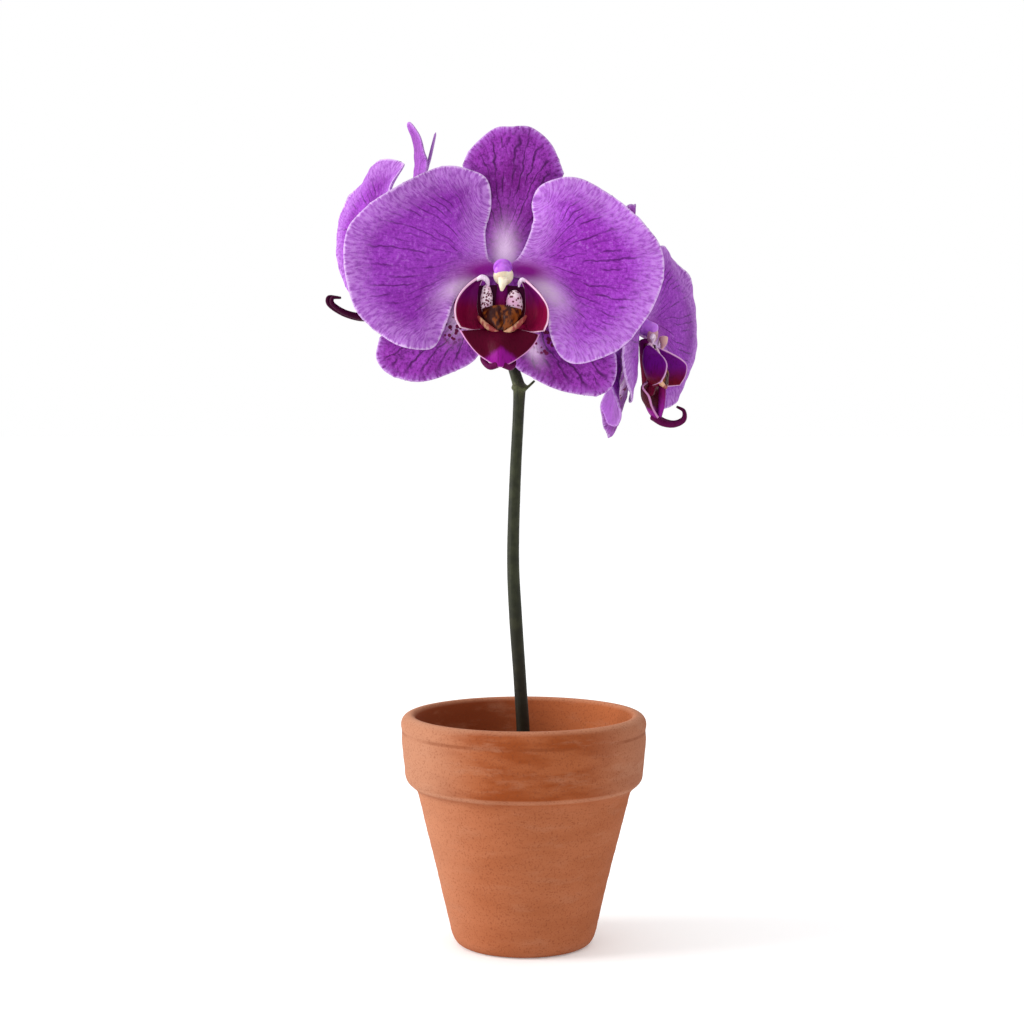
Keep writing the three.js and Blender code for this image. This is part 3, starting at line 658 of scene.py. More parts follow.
main_path = [
    (0, 0, 14), (0, 0, 40), (0.1, 0, 62), (-1.2, 0, 84.9), (-2.7, 0, 107), (-3.5, 0, 126),
    (-2.9, 0, 149.9), (-1.8, 0, 172.4), (-1.4, 0.2, 181.9),
]
rachis_path = [
    (-1.4, 0.2, 180.9), (-3.1, 1.2, 186.4), (-5.7, 5, 194.5), (-7.7, 10, 204.7), (-10.2, 15, 216.8),
]
stalks = {
    "front": ([(-2.9, 1.4, 186.4), (-4.7, -0.5, 199.3), (-6.5, -6, 212.4)], [1.6, 1.45, 1.4]),
    "right": ([(-4.3, 3, 190.4), (4, 15, 197.5), (18, 27, 201.5)], [1.5, 1.4, 1.4]),
    "left": ([(-9.9, 14.6, 215.8), (-15, 22, 226), (-26, 31, 230.2)], [1.45, 1.4, 1.4]),
}
for bloom, (path, radii) in stalks.items():
    path += on_plant(bloom, [(0, -10, -0.6), (0, HUB_END, 0)]).tolist()
    radii += [1.9, HUB_RADIUS]
stem_bodies = [
    tube(main_path, [2.5, 2.4, 2.25, 2.1, 2.15, 2.0, 1.9, 1.85, 2.1], 160, 28),
    tube(rachis_path, [2.0, 1.85, 1.7, 1.6, 1.5], 60, 24),
]
stem_bodies += [tube(path, radii, 60, 24) for path, radii in stalks.values()]

stem_bodies.append(ellipsoid((-1.4, 0.1, 181.0), (2.75, 2.6, 1.5)))
shares = np.linspace(0, 1, 17)
bract_u, bract_v = np.meshgrid(shares, shares, indexing="ij")
bract_a = (bract_v - 0.5) * 2 * (1.9 * (1 - bract_u) ** 0.7 + 0.25)
bract = np.stack(
    [
        0.4 + 2.2 * bract_u + 0.9 * bract_u**2,
        -0.6 + bract_a,
        180.7 + 1.2 * bract_u + 1.4 * bract_u**2 - bract_a**2 * 0.12,
    ],
    -1,
)
stem_bodies.append(thick_sheet(bract, np.full(bract.shape[:2], 0.8)))
print("bodies of the stem:", len(stem_bodies))


# %% Fuse the stem
STEM_VOXEL = 0.3

def fused(points, faces, voxel, smooth_passes):
    """The points and faces of one skin round overlapping bodies."""
    mesh = bpy.data.meshes.new("fusing")
    mesh.from_pydata(np.asarray(points).tolist(), [], faces)
    holder = into_scene("fusing", mesh)
    skin = holder.modifiers.new("skin", "REMESH")
    skin.mode, skin.voxel_size = "VOXEL", voxel
    ease = holder.modifiers.new("ease", "SMOOTH")
    ease.iterations, ease.factor = smooth_passes, 0.5
    done = applied(holder)
    out = np.array([v.co for v in done.vertices]), [list(p.vertices) for p in done.polygons]
    bpy.data.objects.remove(holder)
    bpy.data.meshes.remove(done)
    return out


stem_points, stem_faces, _ = together(stem_bodies)
stem_points, stem_faces = fused(stem_points, stem_faces, STEM_VOXEL, 4)
print("stem faces:", len(stem_faces))


# %% [markdown]
# ## The finish of the stem
# The stem is a dark olive green, nearly black where it leaves the pot and lighter at the node.
# The stalks go over to pale green and then to the violet of the flower. Height picks the
# green, and a map stored on the mesh, worked out from the stalks' paths, picks how far along a
# stalk a point is.

# %% Stem skin
def stem_finish():
    material = start_finish("stem_skin", roughness=0.5, specular_ior_level=0.2)
    where = placed(material)
    height = parts_of(where)[2]
    on_stalk, near_node, _ = stored(material, "stalk_map")
    line = grain(squeezed(where, (1, 1, 0.12)), 1500.0, 2.0)
    mottle = grain(where, 300.0, 4.0)
    patchy = fade(mottle, 0.35, 0.65)
    low = mixed(patchy, paint(20, 13, 2), paint(32, 24, 7))
    high = mixed(patchy, paint(31, 34, 18), paint(47, 50, 30))
    colour = mixed(fade(height, 0.07, 0.125), low, high)
    node_tint = mixed(fade(mottle, 0.4, 0.6), paint(54, 58, 36), paint(84, 88, 54))
    colour = mixed(near_node, colour, node_tint)
    colour = mixed(fade(line, 0.5, 0.7) * 0.35, colour, paint(26, 26, 18))
    pale = mixed(fade(mottle, 0.3, 0.7), paint(150, 160, 96), paint(178, 186, 128))
    colour = mixed(fade(on_stalk, 0.05, 0.6), colour, pale)
    colour = mixed(fade(on_stalk, 0.75, 1.0), colour, paint(190, 140, 196))
    return complete(material, colour, line + mottle, 0.00015, 0.6)


STALK_WITHIN = 3.6  # millimetres from a stalk's middle
NODE_HEIGHT = 181.5
NODE_SIZE = 2.5


def stalk_map(points):
    """For each point of the stem: how far along a stalk, how near the node, and nothing."""
    share = np.zeros(len(points))
    for path, _ in stalks.values():
        ticks = np.linspace(0, 1, 81)
        away = np.linalg.norm(points[:, None] - spline(path, ticks)[None], axis=2)
        near = away.argmin(1)
        share = np.where(away.min(1) < STALK_WITHIN, np.maximum(share, ticks[near]), share)
    near_node = np.exp(-(((points[:, 2] - NODE_HEIGHT) / NODE_SIZE) ** 2))
    return np.stack([share, near_node, np.zeros(len(points))], 1)


stem_maps = {"stalk_map": stalk_map(stem_points)}
stem = make_piece(
    "stem_and_stalks",
    stem_points,
    stem_faces,
    stem_finish(),
    "flower_stem",
    maps=stem_maps,
)
print(stem.name, "faces:", len(stem.data.polygons))

# %% [markdown]
# ## Petals and sepals
# A moth orchid bloom has two broad petals in front and three sepals behind them, here all
# called blades. Each one starts from its flat outline. A surface is stretched inside the
# outline, bent forward or back along its length, rolled across, and given waves at its margin.
# A flat plane with a picture of a petal would be quicker, but it has no edge and no thickness.

# %% Outlines of the blades
OUTLINES = {
    "petal_left": {
        "upper": [(-0.6, 1.8), (-3.1, 1.7), (-4.7, 3.8), (-5.4, 11.6), (-3.7, 19.4), (-4.5, 26.9),
                  (-8.3, 30.2), (-17.8, 32.2), (-28.6, 28.0), (-41.4, 20.3)],
        "end": [(-41.4, 20.3), (-48.2, 12.7), (-49.6, 2.1), (-46.5, -12.1), (-40.8, -19.0)],
        "lower": [(-0.6, -2.9), (-4.7, -2.5), (-9.1, -3.3), (-14.5, -9.0), (-17.6, -17.0),
                  (-21.1, -24.2), (-25.9, -25.5), (-33.2, -23.9), (-40.8, -19.0)],
    },
    "petal_right": {
        "upper": [(0.6, 1.8), (4.0, 2.5), (6.9, 6.9), (9.4, 14.7), (9.0, 20.9), (12.3, 26.5),
                  (22.6, 28.7), (33.7, 23.0), (42.7, 15.5)],
        "end": [(42.7, 15.5), (49.0, 7.0), (50.1, -2.3), (46.5, -12.8), (40.2, -22.0)],
        "lower": [(0.6, -2.9), (4.7, -3.0), (9.4, -5.1), (13.5, -11.4), (15.0, -21.7),
                  (18.6, -28.2), (24.6, -29.8), (34.6, -26.4), (40.2, -22.0)],
    },
    "dorsal_sepal": {
        "upper": [(-2.5, 0.6), (-5.4, 4.3), (-7.6, 11.4), (-10.6, 21.4), (-12.8, 33.2)],
        "end": [(-12.8, 33.2), (-10.2, 38.2), (-3.0, 44.4), (3.1, 44.9), (9.0, 44.8),
                (15.4, 39.6), (19.4, 30.6)],
        "lower": [(2.5, 0.6), (6.0, 4.3), (9.8, 10.6), (15.2, 19.4), (19.4, 30.6)],
    },
    "lateral_sepal_left": {
        "upper": [(-2.6, 0.1), (-11.4, -3.3), (-25.0, -9.9), (-34.2, -15.8), (-39.4, -21.8)],
        "end": [(-39.4, -21.8), (-40.6, -27.6), (-38.6, -31.8), (-35.2, -34.3)],
        "lower": [(-0.3, -2.6), (-3.8, -17.0), (-8.6, -28.3), (-17.6, -33.4), (-26.8, -35.9),
                  (-35.2, -34.3)],
    },
    "lateral_sepal_right": {
        "upper": [(2.6, 0.1), (12.3, -3.3), (24.4, -10.6), (32.5, -19.0), (36.2, -27.6)],
        "end": [(36.2, -27.6), (36.3, -33.2), (34.4, -38.2), (30.1, -40.6)],
        "lower": [(0.3, -2.6), (1.1, -15.2), (2.9, -29.4), (9.9, -34.9), (19.1, -38.9),
                  (30.1, -40.6)],
    },
}

# %% How each blade is bent
# Each row gives the lean forward in degrees, the further curl at the tip, the roll across on
# the upper and the lower side as a radius in millimetres, the height of the margin's waves,
# how many waves there are, and the shares of the outline's width and length.
FORMS = {
    "front": {
        "petal_left": (5, -9, 150, 120, 0.8, 2.5, 1, 1),
        "petal_right": (5, -8, 120, 140, 0.8, 2.2, 1, 1),
        "dorsal_sepal": (-8, -2, 60, 60, 0.4, 1.5, 1, 1),
        "lateral_sepal_left": (-8, -4, 90, 60, 0.5, 2, 1, 1),
        "lateral_sepal_right": (-8, -4, 90, 60, 0.5, 2, 1, 1),
    },
    "left": {
        "petal_left": (21, -12, 75, 40, -2.0, 2.5, 0.96, 1),
        "petal_right": (8, -18, 30, 45, 0.8, 2.2, 0.8, 1),
        "dorsal_sepal": (-50, 82, 12, 12, 0.3, 1.5, 0.45, 0.94),
        "lateral_sepal_left": (-24, -14, 16, 16, 0.4, 2, 0.9, 1),
        "lateral_sepal_right": (-22, -10, 14, 14, 0.4, 2, 0.9, 1),
    },
    "right": {
        "petal_right": (34, -40, 150, 60, -1.8, 2.86, 1, 1),
        "petal_left": (34, -45, 100, 150, 0.8, 2.2, 1, 1),
        "dorsal_sepal": (-11, 18, 12, 11, 0.3, 1.5, 0.6, 0.93),
        "lateral_sepal_right": (-19, -4, 12, 12, 0.4, 2, 0.75, 1.06),
        "lateral_sepal_left": (-6, 27, 12, 12, 0.4, 2, 0.75, 1),
    },
}
SEPAL_LAYER = -2.55  # millimetres forward of the bloom's centre
PETAL_LAYER = -1.35
FLAT_BASE = 3.5  # a blade stays flat this far from its root
BASE_TURN = 6.0  # and then takes up its lean over this length
BLADE_ROWS = 84
BLADE_COLUMNS = 64
print("blades:", sum(len(f) for f in FORMS.values()))

# %% [markdown]
# ## One blade
# The surface inside the outline is a Coons patch: it runs from the base to the far edge and
# from one side to the other. Three numbers are kept for each point: the vein that it lies on,
# how far it is from the base, and how far from the margin. Veins leave the base as a fan and
# meet the margin square on, so near the margin a point takes the vein of the nearest margin
# point. The finish later draws its veins and its pale rim from these numbers.

# %% The flat patch and its vein numbers
def flat_patch(outline):
    """A grid of flat points inside an outline, with the root and the two directions."""
    upper, lower, end = (np.array(outline[k], float) for k in ("upper", "lower", "end"))
    u = np.sin(np.linspace(0, math.pi / 2, BLADE_ROWS + 1))
    v = 0.5 - 0.5 * np.cos(np.linspace(0, math.pi, BLADE_COLUMNS + 1))
    top, bottom, tip = even_spline(upper, u), even_spline(lower, u), even_spline(end, v)
    uu, vv = u[:, None, None], v[None, :, None]
    a, b, c, d = upper[0], lower[0], end[0], end[-1]
    sides = top[:, None] * (1 - vv) + bottom[:, None] * vv
    ends = (a * (1 - vv) + b * vv) * (1 - uu) + tip[None] * uu
    corners = (a * (1 - vv) + b * vv) * (1 - uu) + (c * (1 - vv) + d * vv) * uu
    root = (a + b) / 2
    axis = even_spline(end, [0.5])[0] - root
    length = np.linalg.norm(axis)
    axis = axis / length
    across = np.array([-axis[1], axis[0]])
    if across.dot(c - d) < 0:
        across = -across
    ticks = np.linspace(0, 1, 240)
    margin = np.concatenate([even_spline(k, ticks) for k in (upper, lower, end)])
    return sides + ends - corners, u, v, root, axis, across, length, margin


def vein_numbers(flat, root, axis, across, margin, square_on):
    """For each flat point: its vein as an angle, its distance from the base and the margin."""
    start = root - axis * 2.0

    def vein_of(points):
        away = points - start
        return np.arctan2(away @ across, away @ axis)

    q = flat.reshape(-1, 2)
    gap = np.linalg.norm(q[:, None] - margin[None], axis=2)
    nearest = gap.argmin(1)
    rim = gap.min(1)
    own = vein_of(q)
    share = np.exp(-((rim / square_on) ** 2))
    vein = own + share * (vein_of(margin)[nearest] - own)
    reach = np.linalg.norm(q - root, axis=1)
    return np.stack([vein, reach, rim], 1)


# %% Bend the patch into a blade
VEINS_TURN_WITHIN = 7.0  # nearer to the margin than this, veins turn square to it
MARGIN_THICKNESS = 0.12
SWELL = 0.62  # how much thicker a blade is away from its margin


def follow_bend(s, lean, curl, length):
    """The bend's angle, and the way forward and up after following it for a length."""
    def angle_at(distance):
        past = np.maximum(distance - FLAT_BASE, 0)
        return np.radians(lean * smoothstep(past / BASE_TURN) + curl * past / (length - FLAT_BASE))

    ticks = (np.arange(24) + 0.5) / 24
    angles = angle_at(s[..., None] * ticks)
    return angle_at(s), np.cos(angles).mean(-1) * s, np.sin(angles).mean(-1) * s


def blade(outline, form, layer, crumple):
    """Points, faces and maps of one blade, as right, forward and up in its bloom."""
    lean, curl, roll_upper, roll_lower, wave, waves, narrow, long = form
    flat, u, v, root, axis, across, length, margin = flat_patch(outline)
    numbers = vein_numbers(flat, root, axis, across, margin, VEINS_TURN_WITHIN)
    vein, reach, rim = (numbers[:, k].reshape(flat.shape[:2]) for k in range(3))
    q = flat - root
    s = q @ axis * long
    c = (q @ across) * (1 - (1 - narrow) * np.clip(s / 8, 0, 1))
    angle, ahead, rise = follow_bend(s, lean, curl, length)
    roll = np.where(c > 0, 1 / roll_upper, 1 / roll_lower)
    uu, vv = u[:, None], v[None, :]
    edge = np.abs(2 * vv - 1) ** 3 * np.sin(math.pi * np.minimum(uu, 0.7))
    ripple = wave * edge * np.sin(2 * math.pi * waves * uu + np.where(vv > 0.5, 2, 0.4))
    height = ripple + crumple(vein, reach, rim) - (1 - np.cos(roll * c)) / roll
    side = np.sin(roll * c) / roll
    plane = root + axis * (ahead - np.sin(angle) * height)[..., None] + across * side[..., None]
    forward = layer + rise + np.cos(angle) * height
    surface = np.stack([plane[..., 0], forward, plane[..., 1]], -1)
    rounding = np.sqrt(np.clip(1 - (1 - np.clip(rim / 0.7, 0, 1)) ** 2, 0, 1))
    points, faces = thick_sheet(surface, MARGIN_THICKNESS + SWELL * rounding)
    facing = np.sign(normals_of(surface)[..., 1].mean())
    behind = np.repeat([facing < 0, facing > 0], numbers.shape[0]).astype(float)
    flat_both = np.tile(q.reshape(-1, 2), (2, 1))
    return points, faces, np.tile(numbers, (2, 1)), behind, flat_both + root


print("a blade has", len(sheet_faces(BLADE_ROWS, BLADE_COLUMNS)), "faces")

# %% [markdown]
# ## The finish of a blade
# A petal is a violet skin over air-filled cells. It has painted shade along a few long creases
# that follow its veins, is mottled between them, and near the margin fine streaks run square to
# it and fade into a nearly white rim. White and magenta patches lie beside the lip. Each of those
# is one layer of colour over the last, driven by the vein numbers, so the streaks follow the real
# growth.

# %% Layers of the petal's colour
def held(value):
    """The value kept between 0 and 1."""
    value.socket.node.use_clamp = True
    return value


def petal_finish(name, tone):
    """tone holds the colours of one kind of blade and the strength of its markings."""
    material = start_finish(name, roughness=0.6, specular_ior_level=0.12)
    where = placed(material)
    vein, reach, rim = stored(material, "vein_map")
    white, magenta, behind = stored(material, "tint_map")

    def along_veins(fineness, stretch):
        place = {0: vein * fineness, 1: reach * stretch}
        return add_node(material.node_tree, "ShaderNodeCombineXYZ", place)

    streak = grain(along_veins(34.0, 0.22), 1.6, 3.0, 0.6)
    mottle = grain(where, 900.0, 3.0, 0.75)
    colour = mixed(fade(grain(where, 60.0, 2.0), 0.35, 0.65), tone["deep"], tone["light"])
    colour = mixed(fade(mottle, 0.45, 0.7) * tone["fleck"], colour, tone["dark"])
    colour = mixed(fade(mottle, 0.46, 0.3) * 0.3, colour, tone["pale"])
    colour = mixed(fade(streak, 0.5, 0.66) * tone["lines"], colour, tone["dark"])

    # Painted shade in the long creases that follow the veins; the same mask also sinks them in the bumps.
    drift = (grain(where, 55.0, 1.0) - 0.5) * tone["drift"]
    waver = (grain(where, 230.0, 2.0) - 0.5) * 2.6
    phase = vein * tone["pitch"] + (drift + waver)
    crease_shade = fade(abs(maths("SINE", phase)), 0.5, 0.04)
    gaps = fade(grain(along_veins(5.0, 0.05), 1.7, 1.0), *tone["gaps"])
    crease_shade = crease_shade * (fade(reach, 8.0, 16.0) * fade(rim, *tone["inset"])) * gaps
    colour = mixed(crease_shade * tone["crease_shade_strength"], colour, tone["crease_shade"])

    fringe = fade(rim, tone["streak_reach"], 0.4) * 0.7
    colour = mixed(fringe * tone["veil"], colour, tone["pale"])
    colour = mixed(held(fringe * fade(streak, 0.62, 0.36)), colour, tone["pale"])
    frayed = rim + (streak - 0.5) * 2.4
    colour = mixed(fade(frayed, 0.9, 0.0) * 0.55, colour, tone["rim"])
    colour = mixed(held(white * (streak + 0.45)), colour, tone["patch"])
    if tone["spots"]:
        cells = add_node(where.tree, "ShaderNodeTexVoronoi", {"Vector": where, "Scale": 620.0})
        magenta = fade(magenta, 0.15, 0.45) * fade(cells, 0.46, 0.36)
    colour = mixed(magenta, colour, tone["blotch"])
    colour = mixed(behind * 0.55, colour, tone["pale"])
    return complete(material, colour, streak + mottle - crease_shade, 0.0003, 0.5)


# %% Tones of petals and sepals
# Each tone's darkest crease colour and its strength give the painted shade of the creases.
PETAL_TONE = {
    "deep": paint(128, 33, 153), "light": paint(148, 54, 179), "dark": paint(92, 16, 118),
    "crease_shade": paint(74, 6, 92), "pale": paint(188, 132, 212), "rim": paint(230, 205, 240),
    "patch": paint(222, 190, 228), "blotch": paint(128, 12, 130), "spots": False,
    "fleck": 0.6, "lines": 0.4, "crease_shade_strength": 0.8, "streak_reach": 11.0, "veil": 0.4,
    "pitch": 40.0, "drift": 7.0, "inset": (4.0, 10.0), "gaps": (0.42, 0.58),
}
SEPAL_TONE = {
    **PETAL_TONE,
    "deep": paint(124, 28, 138), "light": paint(153, 54, 175), "dark": paint(78, 8, 90),
    "crease_shade": paint(62, 4, 72), "pale": paint(172, 104, 200), "rim": paint(214, 178, 230),
    "blotch": paint(96, 8, 62), "spots": True,
    "fleck": 0.8, "lines": 0.4, "crease_shade_strength": 0.85, "streak_reach": 3.5, "veil": 0.15,
    "pitch": 30.0, "drift": 4.0, "inset": (1.5, 5.0), "gaps": (0.36, 0.52),
}
# Painted light: a paler copy of the petal colours, for a petal that gets less of the lamp's light.
PETAL_TONE_PAINTED_LIGHT = {
    **PETAL_TONE,
    "deep": paint(152, 46, 182), "light": paint(172, 71, 208), "pale": paint(204, 146, 230),
}
petal_skin = petal_finish("petal_violet", PETAL_TONE)
petal_skin_painted_light = petal_finish("petal_violet_painted_light", PETAL_TONE_PAINTED_LIGHT)
sepal_skin = petal_finish("sepal_violet", SEPAL_TONE)
print("blade finishes:", petal_skin.name, petal_skin_painted_light.name, sepal_skin.name)

# %% [markdown]
# ## Sheets through rows of points
# The lip's lobes, and a narrow strip that has split off one sepal, are read off the flower as
# a few rows of points each. A smooth surface is lofted through them and given a thickness
# that thins out at the margin. Sculpting would do too, but could not be read again later.

# %% Lofted sheets
LOBE_MARGIN = 0.16  # the thickness of a lobe at its margin


def loft(rows, steps, columns):
    """A grid of points on a smooth surface through rows of points."""
    across = np.stack([spline(row, np.linspace(0, 1, columns + 1)) for row in rows])
    return spline(across, np.linspace(0, 1, steps + 1))


def lobe_sheet(rows, steps, columns, thickness, pucker=0.0):
    """Points, faces and rim distance of a thin lobe with a rounded margin."""
    surface = loft(rows, steps, columns)
    edge = np.concatenate([surface[0], surface[-1], surface[:, 0], surface[:, -1]])
    rim = np.linalg.norm(surface.reshape(-1, 1, 3) - edge[None], axis=2).min(1)
    rim = rim.reshape(surface.shape[:2])
    if pucker:
        r, c = np.meshgrid(np.arange(steps + 1), np.arange(columns + 1), indexing="ij")
        wave = np.sin(c * 9.0 / columns + 2) * np.sin(r * 11.0 / steps)
        surface = surface + normals_of(surface) * (pucker * wave * smoothstep(rim / 1.5))[..., None]
    rounding = np.sqrt(np.clip(1 - (1 - np.clip(rim / 0.6, 0, 1)) ** 2, 0, 1))
    points, faces = thick_sheet(surface, LOBE_MARGIN + (thickness - LOBE_MARGIN) * rounding)
    return points, faces, np.tile(rim.ravel(), 2)


PRONG = [
    [(-1.2, -5.3, 10.4), (1.2, -5.3, 10.4)],
    [(-1.6, -8.2, 14.5), (1.6, -8.3, 14.5)],
    [(-1.5, -12.4, 20.0), (1.5, -12.6, 20.0)],
    [(-1.2, -14.9, 27.0), (1.2, -15.1, 27.0)],
    [(-0.9, -16.2, 32.0), (0.9, -16.4, 32.0)],
    [(-0.2, -17.6, 37.6), (0.2, -17.7, 37.6)],
]
print("lofting ready")

# %% [markdown]
# ## Patches beside the lip
# The white and the magenta patches are soft spots at known places of the flat blade, so each
# is a smooth hill of 0 to 1 over the flat points. Drawing them in the finish from the place
# in space would not do, because the side blooms are turned.

# %% Where the patches lie
def hill(flat, centre, size, turn=0.0):
    """1 at the centre of a patch, fading to 0 past its size."""
    away = flat - np.array(centre)
    cos, sin = math.cos(math.radians(turn)), math.sin(math.radians(turn))
    along = (away[:, 0] * cos + away[:, 1] * sin) / size[0]
    across = (-away[:, 0] * sin + away[:, 1] * cos) / size[1]
    return np.exp(-(along**2 + across**2))


PATCHES = {
    "petal_left": (((-12.0, -5.2), (7.0, 2.6), 25), ((-6.0, -0.6), (8.4, 3.2), 8)),
    "petal_right": (((13.0, -6.4), (7.5, 3.0), -40), ((7.0, -0.8), (8.4, 3.2), -8)),
    "dorsal_sepal": (((0.6, 5.0), (3.6, 7.8), 0), None),
    "lateral_sepal_left": (((-14.0, -15.0), (3.4, 6.0), -20), ((-14.5, -15.5), (4.0, 7.0), -20)),
    "lateral_sepal_right": (((9.0, -24.0), (2.4, 5.6), 25), ((12.5, -21.0), (3.4, 6.0), 20)),
}

print("patches:", ", ".join(PATCHES))


# %% [markdown]
# ## Crumple
# Petals have low folds that fan out from their base, and sepals are blistered all over. Both
# are sums of waves over the vein numbers, so the folds follow the growth. Sculpted folds would
# be finer, but they would have to be made fifteen times.

# %% Crumple of the blades
def petal_crumple(vein, reach, rim):
    """Low folds that fan out from the base of a petal, and small ones near its margin."""
    fan = 0.20 * np.sin(9 * vein + 0.05 * reach) + 0.10 * np.sin(21 * vein - 0.08 * reach + 1)
    fine = 0.10 * np.sin(46 * vein + 0.2 * reach) * np.exp(-((rim / 6) ** 2))
    return (fan + fine) * smoothstep((reach - 6) / 12)


def sepal_crumple(vein, reach, rim):
    """The uneven blistered surface of a sepal."""
    ribs = 0.16 * np.sin(16 * vein + 0.9)
    blister = 0.26 * np.sin(11 * vein + 0.33 * reach) * np.sin(0.31 * reach - 5 * vein + 1.1)
    small = 0.12 * np.sin(27 * vein - 0.5 * reach) * np.sin(0.66 * reach + 2)
    return (ribs + blister + small) * smoothstep((reach - 6) / 10)


veins_across = np.linspace(-1.2, 1.2, 200)
print("folds of a sepal, 20 mm out:", round(float(np.ptp(sepal_crumple(veins_across, 20, 8))), 2), "mm")


# %% Build the fifteen blades
def tint_map(bloom, name, behind, flat):
    """For each point of a blade: how white, how magenta, and how pale the back is there."""
    white, magenta = PATCHES[name]
    tint = np.zeros((len(flat), 3))
    tint[:, 0] = hill(flat, *white)
    if magenta:
        tint[:, 1] = np.minimum(1.1 * hill(flat, *magenta), 1)
    tint[:, :2] *= (1 - behind)[:, None]
    # The left bloom's upper sepal is seen edge on, and is pale there on both faces.
    faded = (bloom, name) == ("left", "dorsal_sepal")
    tint[:, 2] = np.maximum(behind, 0.7) if faded else behind
    return tint


for bloom, forms in FORMS.items():
    for name, form in forms.items():
        is_petal = name.startswith("petal")
        crumple = petal_crumple if is_petal else sepal_crumple
        layer = PETAL_LAYER if is_petal else SEPAL_LAYER
        skin = petal_skin if is_petal else sepal_skin
        # The front bloom's right petal gets less of the lamp's light, so it takes the paler copy as painted
        # light.
        if (bloom, name) == ("front", "petal_right"):
            skin = petal_skin_painted_light
        points, faces, numbers, behind, flat = blade(OUTLINES[name], form, layer, crumple)
        if (bloom, name) == ("left", "dorsal_sepal"):
            strip, strip_faces, strip_rim = lobe_sheet(PRONG, 40, 14, 0.9)
            points, faces, _ = together([(points, faces), (strip, strip_faces)])
            added = np.stack([0.3 + strip[:, 0] * 0.12, strip[:, 2], strip_rim], 1)
            numbers = np.concatenate([numbers, added])
            behind = np.concatenate([behind, np.zeros(len(strip))])
            flat = np.concatenate([flat, strip[:, [0, 2]]])
        make_piece(
            f"{bloom}_{name}_skin",
            on_plant(bloom, points),
            faces,
            skin,
            f"{bloom}_{name}",
            maps={"vein_map": numbers, "tint_map": tint_map(bloom, name, behind, flat)},
        )
print("blades made:", sum(len(f) for f in FORMS.values()))

# %% [markdown]
# ## Lip
# The third petal of an orchid is its lip. Two side lobes stand up like cupped hands, ridges
# and a golden callus lie between them, and the arrow-shaped middle lobe ends in two curled
# tendrils. Lofts through a few rows of points give the lobes, since each row is easy to read
# off the flower. The small fleshy parts are tubes and egg shapes.

# %% Rows of the lobes
LOBE_LEFT = [
    [(-4.4, 5.4, -19.0), (-9.0, 6.6, -19.6), (-13.2, 10.4, -18.7)],
    [(-6.6, 4.0, -16.6), (-11.2, 5.6, -16.8), (-14.4, 12.2, -16.0)],
    [(-7.8, 3.2, -12.8), (-12.0, 5.2, -12.9), (-14.5, 12.8, -12.2)],
    [(-7.6, 2.9, -8.6), (-11.0, 4.6, -8.6), (-13.2, 11.4, -8.6)],
    [(-7.0, 3.0, -5.6), (-9.2, 4.0, -5.4), (-10.6, 8.6, -5.5)],
    [(-6.1, 3.4, -3.4), (-6.6, 3.9, -3.0), (-7.0, 5.0, -2.7)],
]
THROAT_BACK = [
    [(-7.4, 3.4, -5.6), (-3.6, 2.6, -5.4), (-0.4, 2.4, -5.4), (3.2, 2.6, -5.6), (6.6, 3.4, -6.0)],
    [(-8.2, 3.2, -10.0), (-4.2, 2.4, -10.0), (-0.4, 2.2, -10.0), (3.8, 2.4, -10.2), (7.2, 3.2, -10.4)],
    [(-7.6, 3.8, -15.0), (-4.0, 2.8, -15.4), (-0.4, 2.6, -15.6), (3.2, 2.8, -15.6), (6.4, 3.8, -15.4)],
    [(-5.4, 5.0, -18.8), (-3.0, 4.4, -19.0), (-0.4, 4.2, -19.0), (2.4, 4.4, -19.2), (4.6, 5.0, -19.2)],
]
CALLUS = [
    [(-6.4, 4.8, -12.8), (-3.2, 6.4, -12.0), (-0.5, 5.4, -11.6), (2.4, 6.4, -12.2), (5.8, 4.8, -13.0)],
    [(-6.0, 6.0, -15.0), (-2.8, 8.3, -14.6), (-0.5, 6.9, -14.2), (2.0, 8.3, -14.8), (5.4, 6.0, -15.2)],
    [(-4.2, 7.0, -17.2), (-2.0, 8.9, -17.2), (-0.5, 7.8, -17.2), (1.2, 8.9, -17.2), (3.4, 7.0, -17.4)],
    [(-1.8, 7.8, -19.4), (-1.1, 8.8, -19.6), (-0.5, 8.6, -19.8), (0.0, 8.8, -19.6), (0.7, 7.8, -19.4)],
]
LOBE_RIGHT = [
    [(3.6, 5.4, -19.2), (8.4, 6.6, -20.2), (12.8, 10.4, -19.8)],
    [(5.6, 4.0, -17.0), (10.2, 5.6, -17.4), (13.9, 12.2, -16.8)],
    [(6.8, 3.2, -13.2), (11.2, 5.2, -13.2), (13.8, 12.8, -12.6)],
    [(6.8, 2.9, -9.0), (10.0, 4.6, -9.0), (11.8, 11.4, -9.0)],
    [(6.4, 3.0, -6.2), (8.2, 4.0, -6.0), (9.2, 8.6, -6.1)],
    [(5.7, 3.4, -4.0), (6.1, 3.9, -3.7), (6.4, 5.0, -3.4)],
]
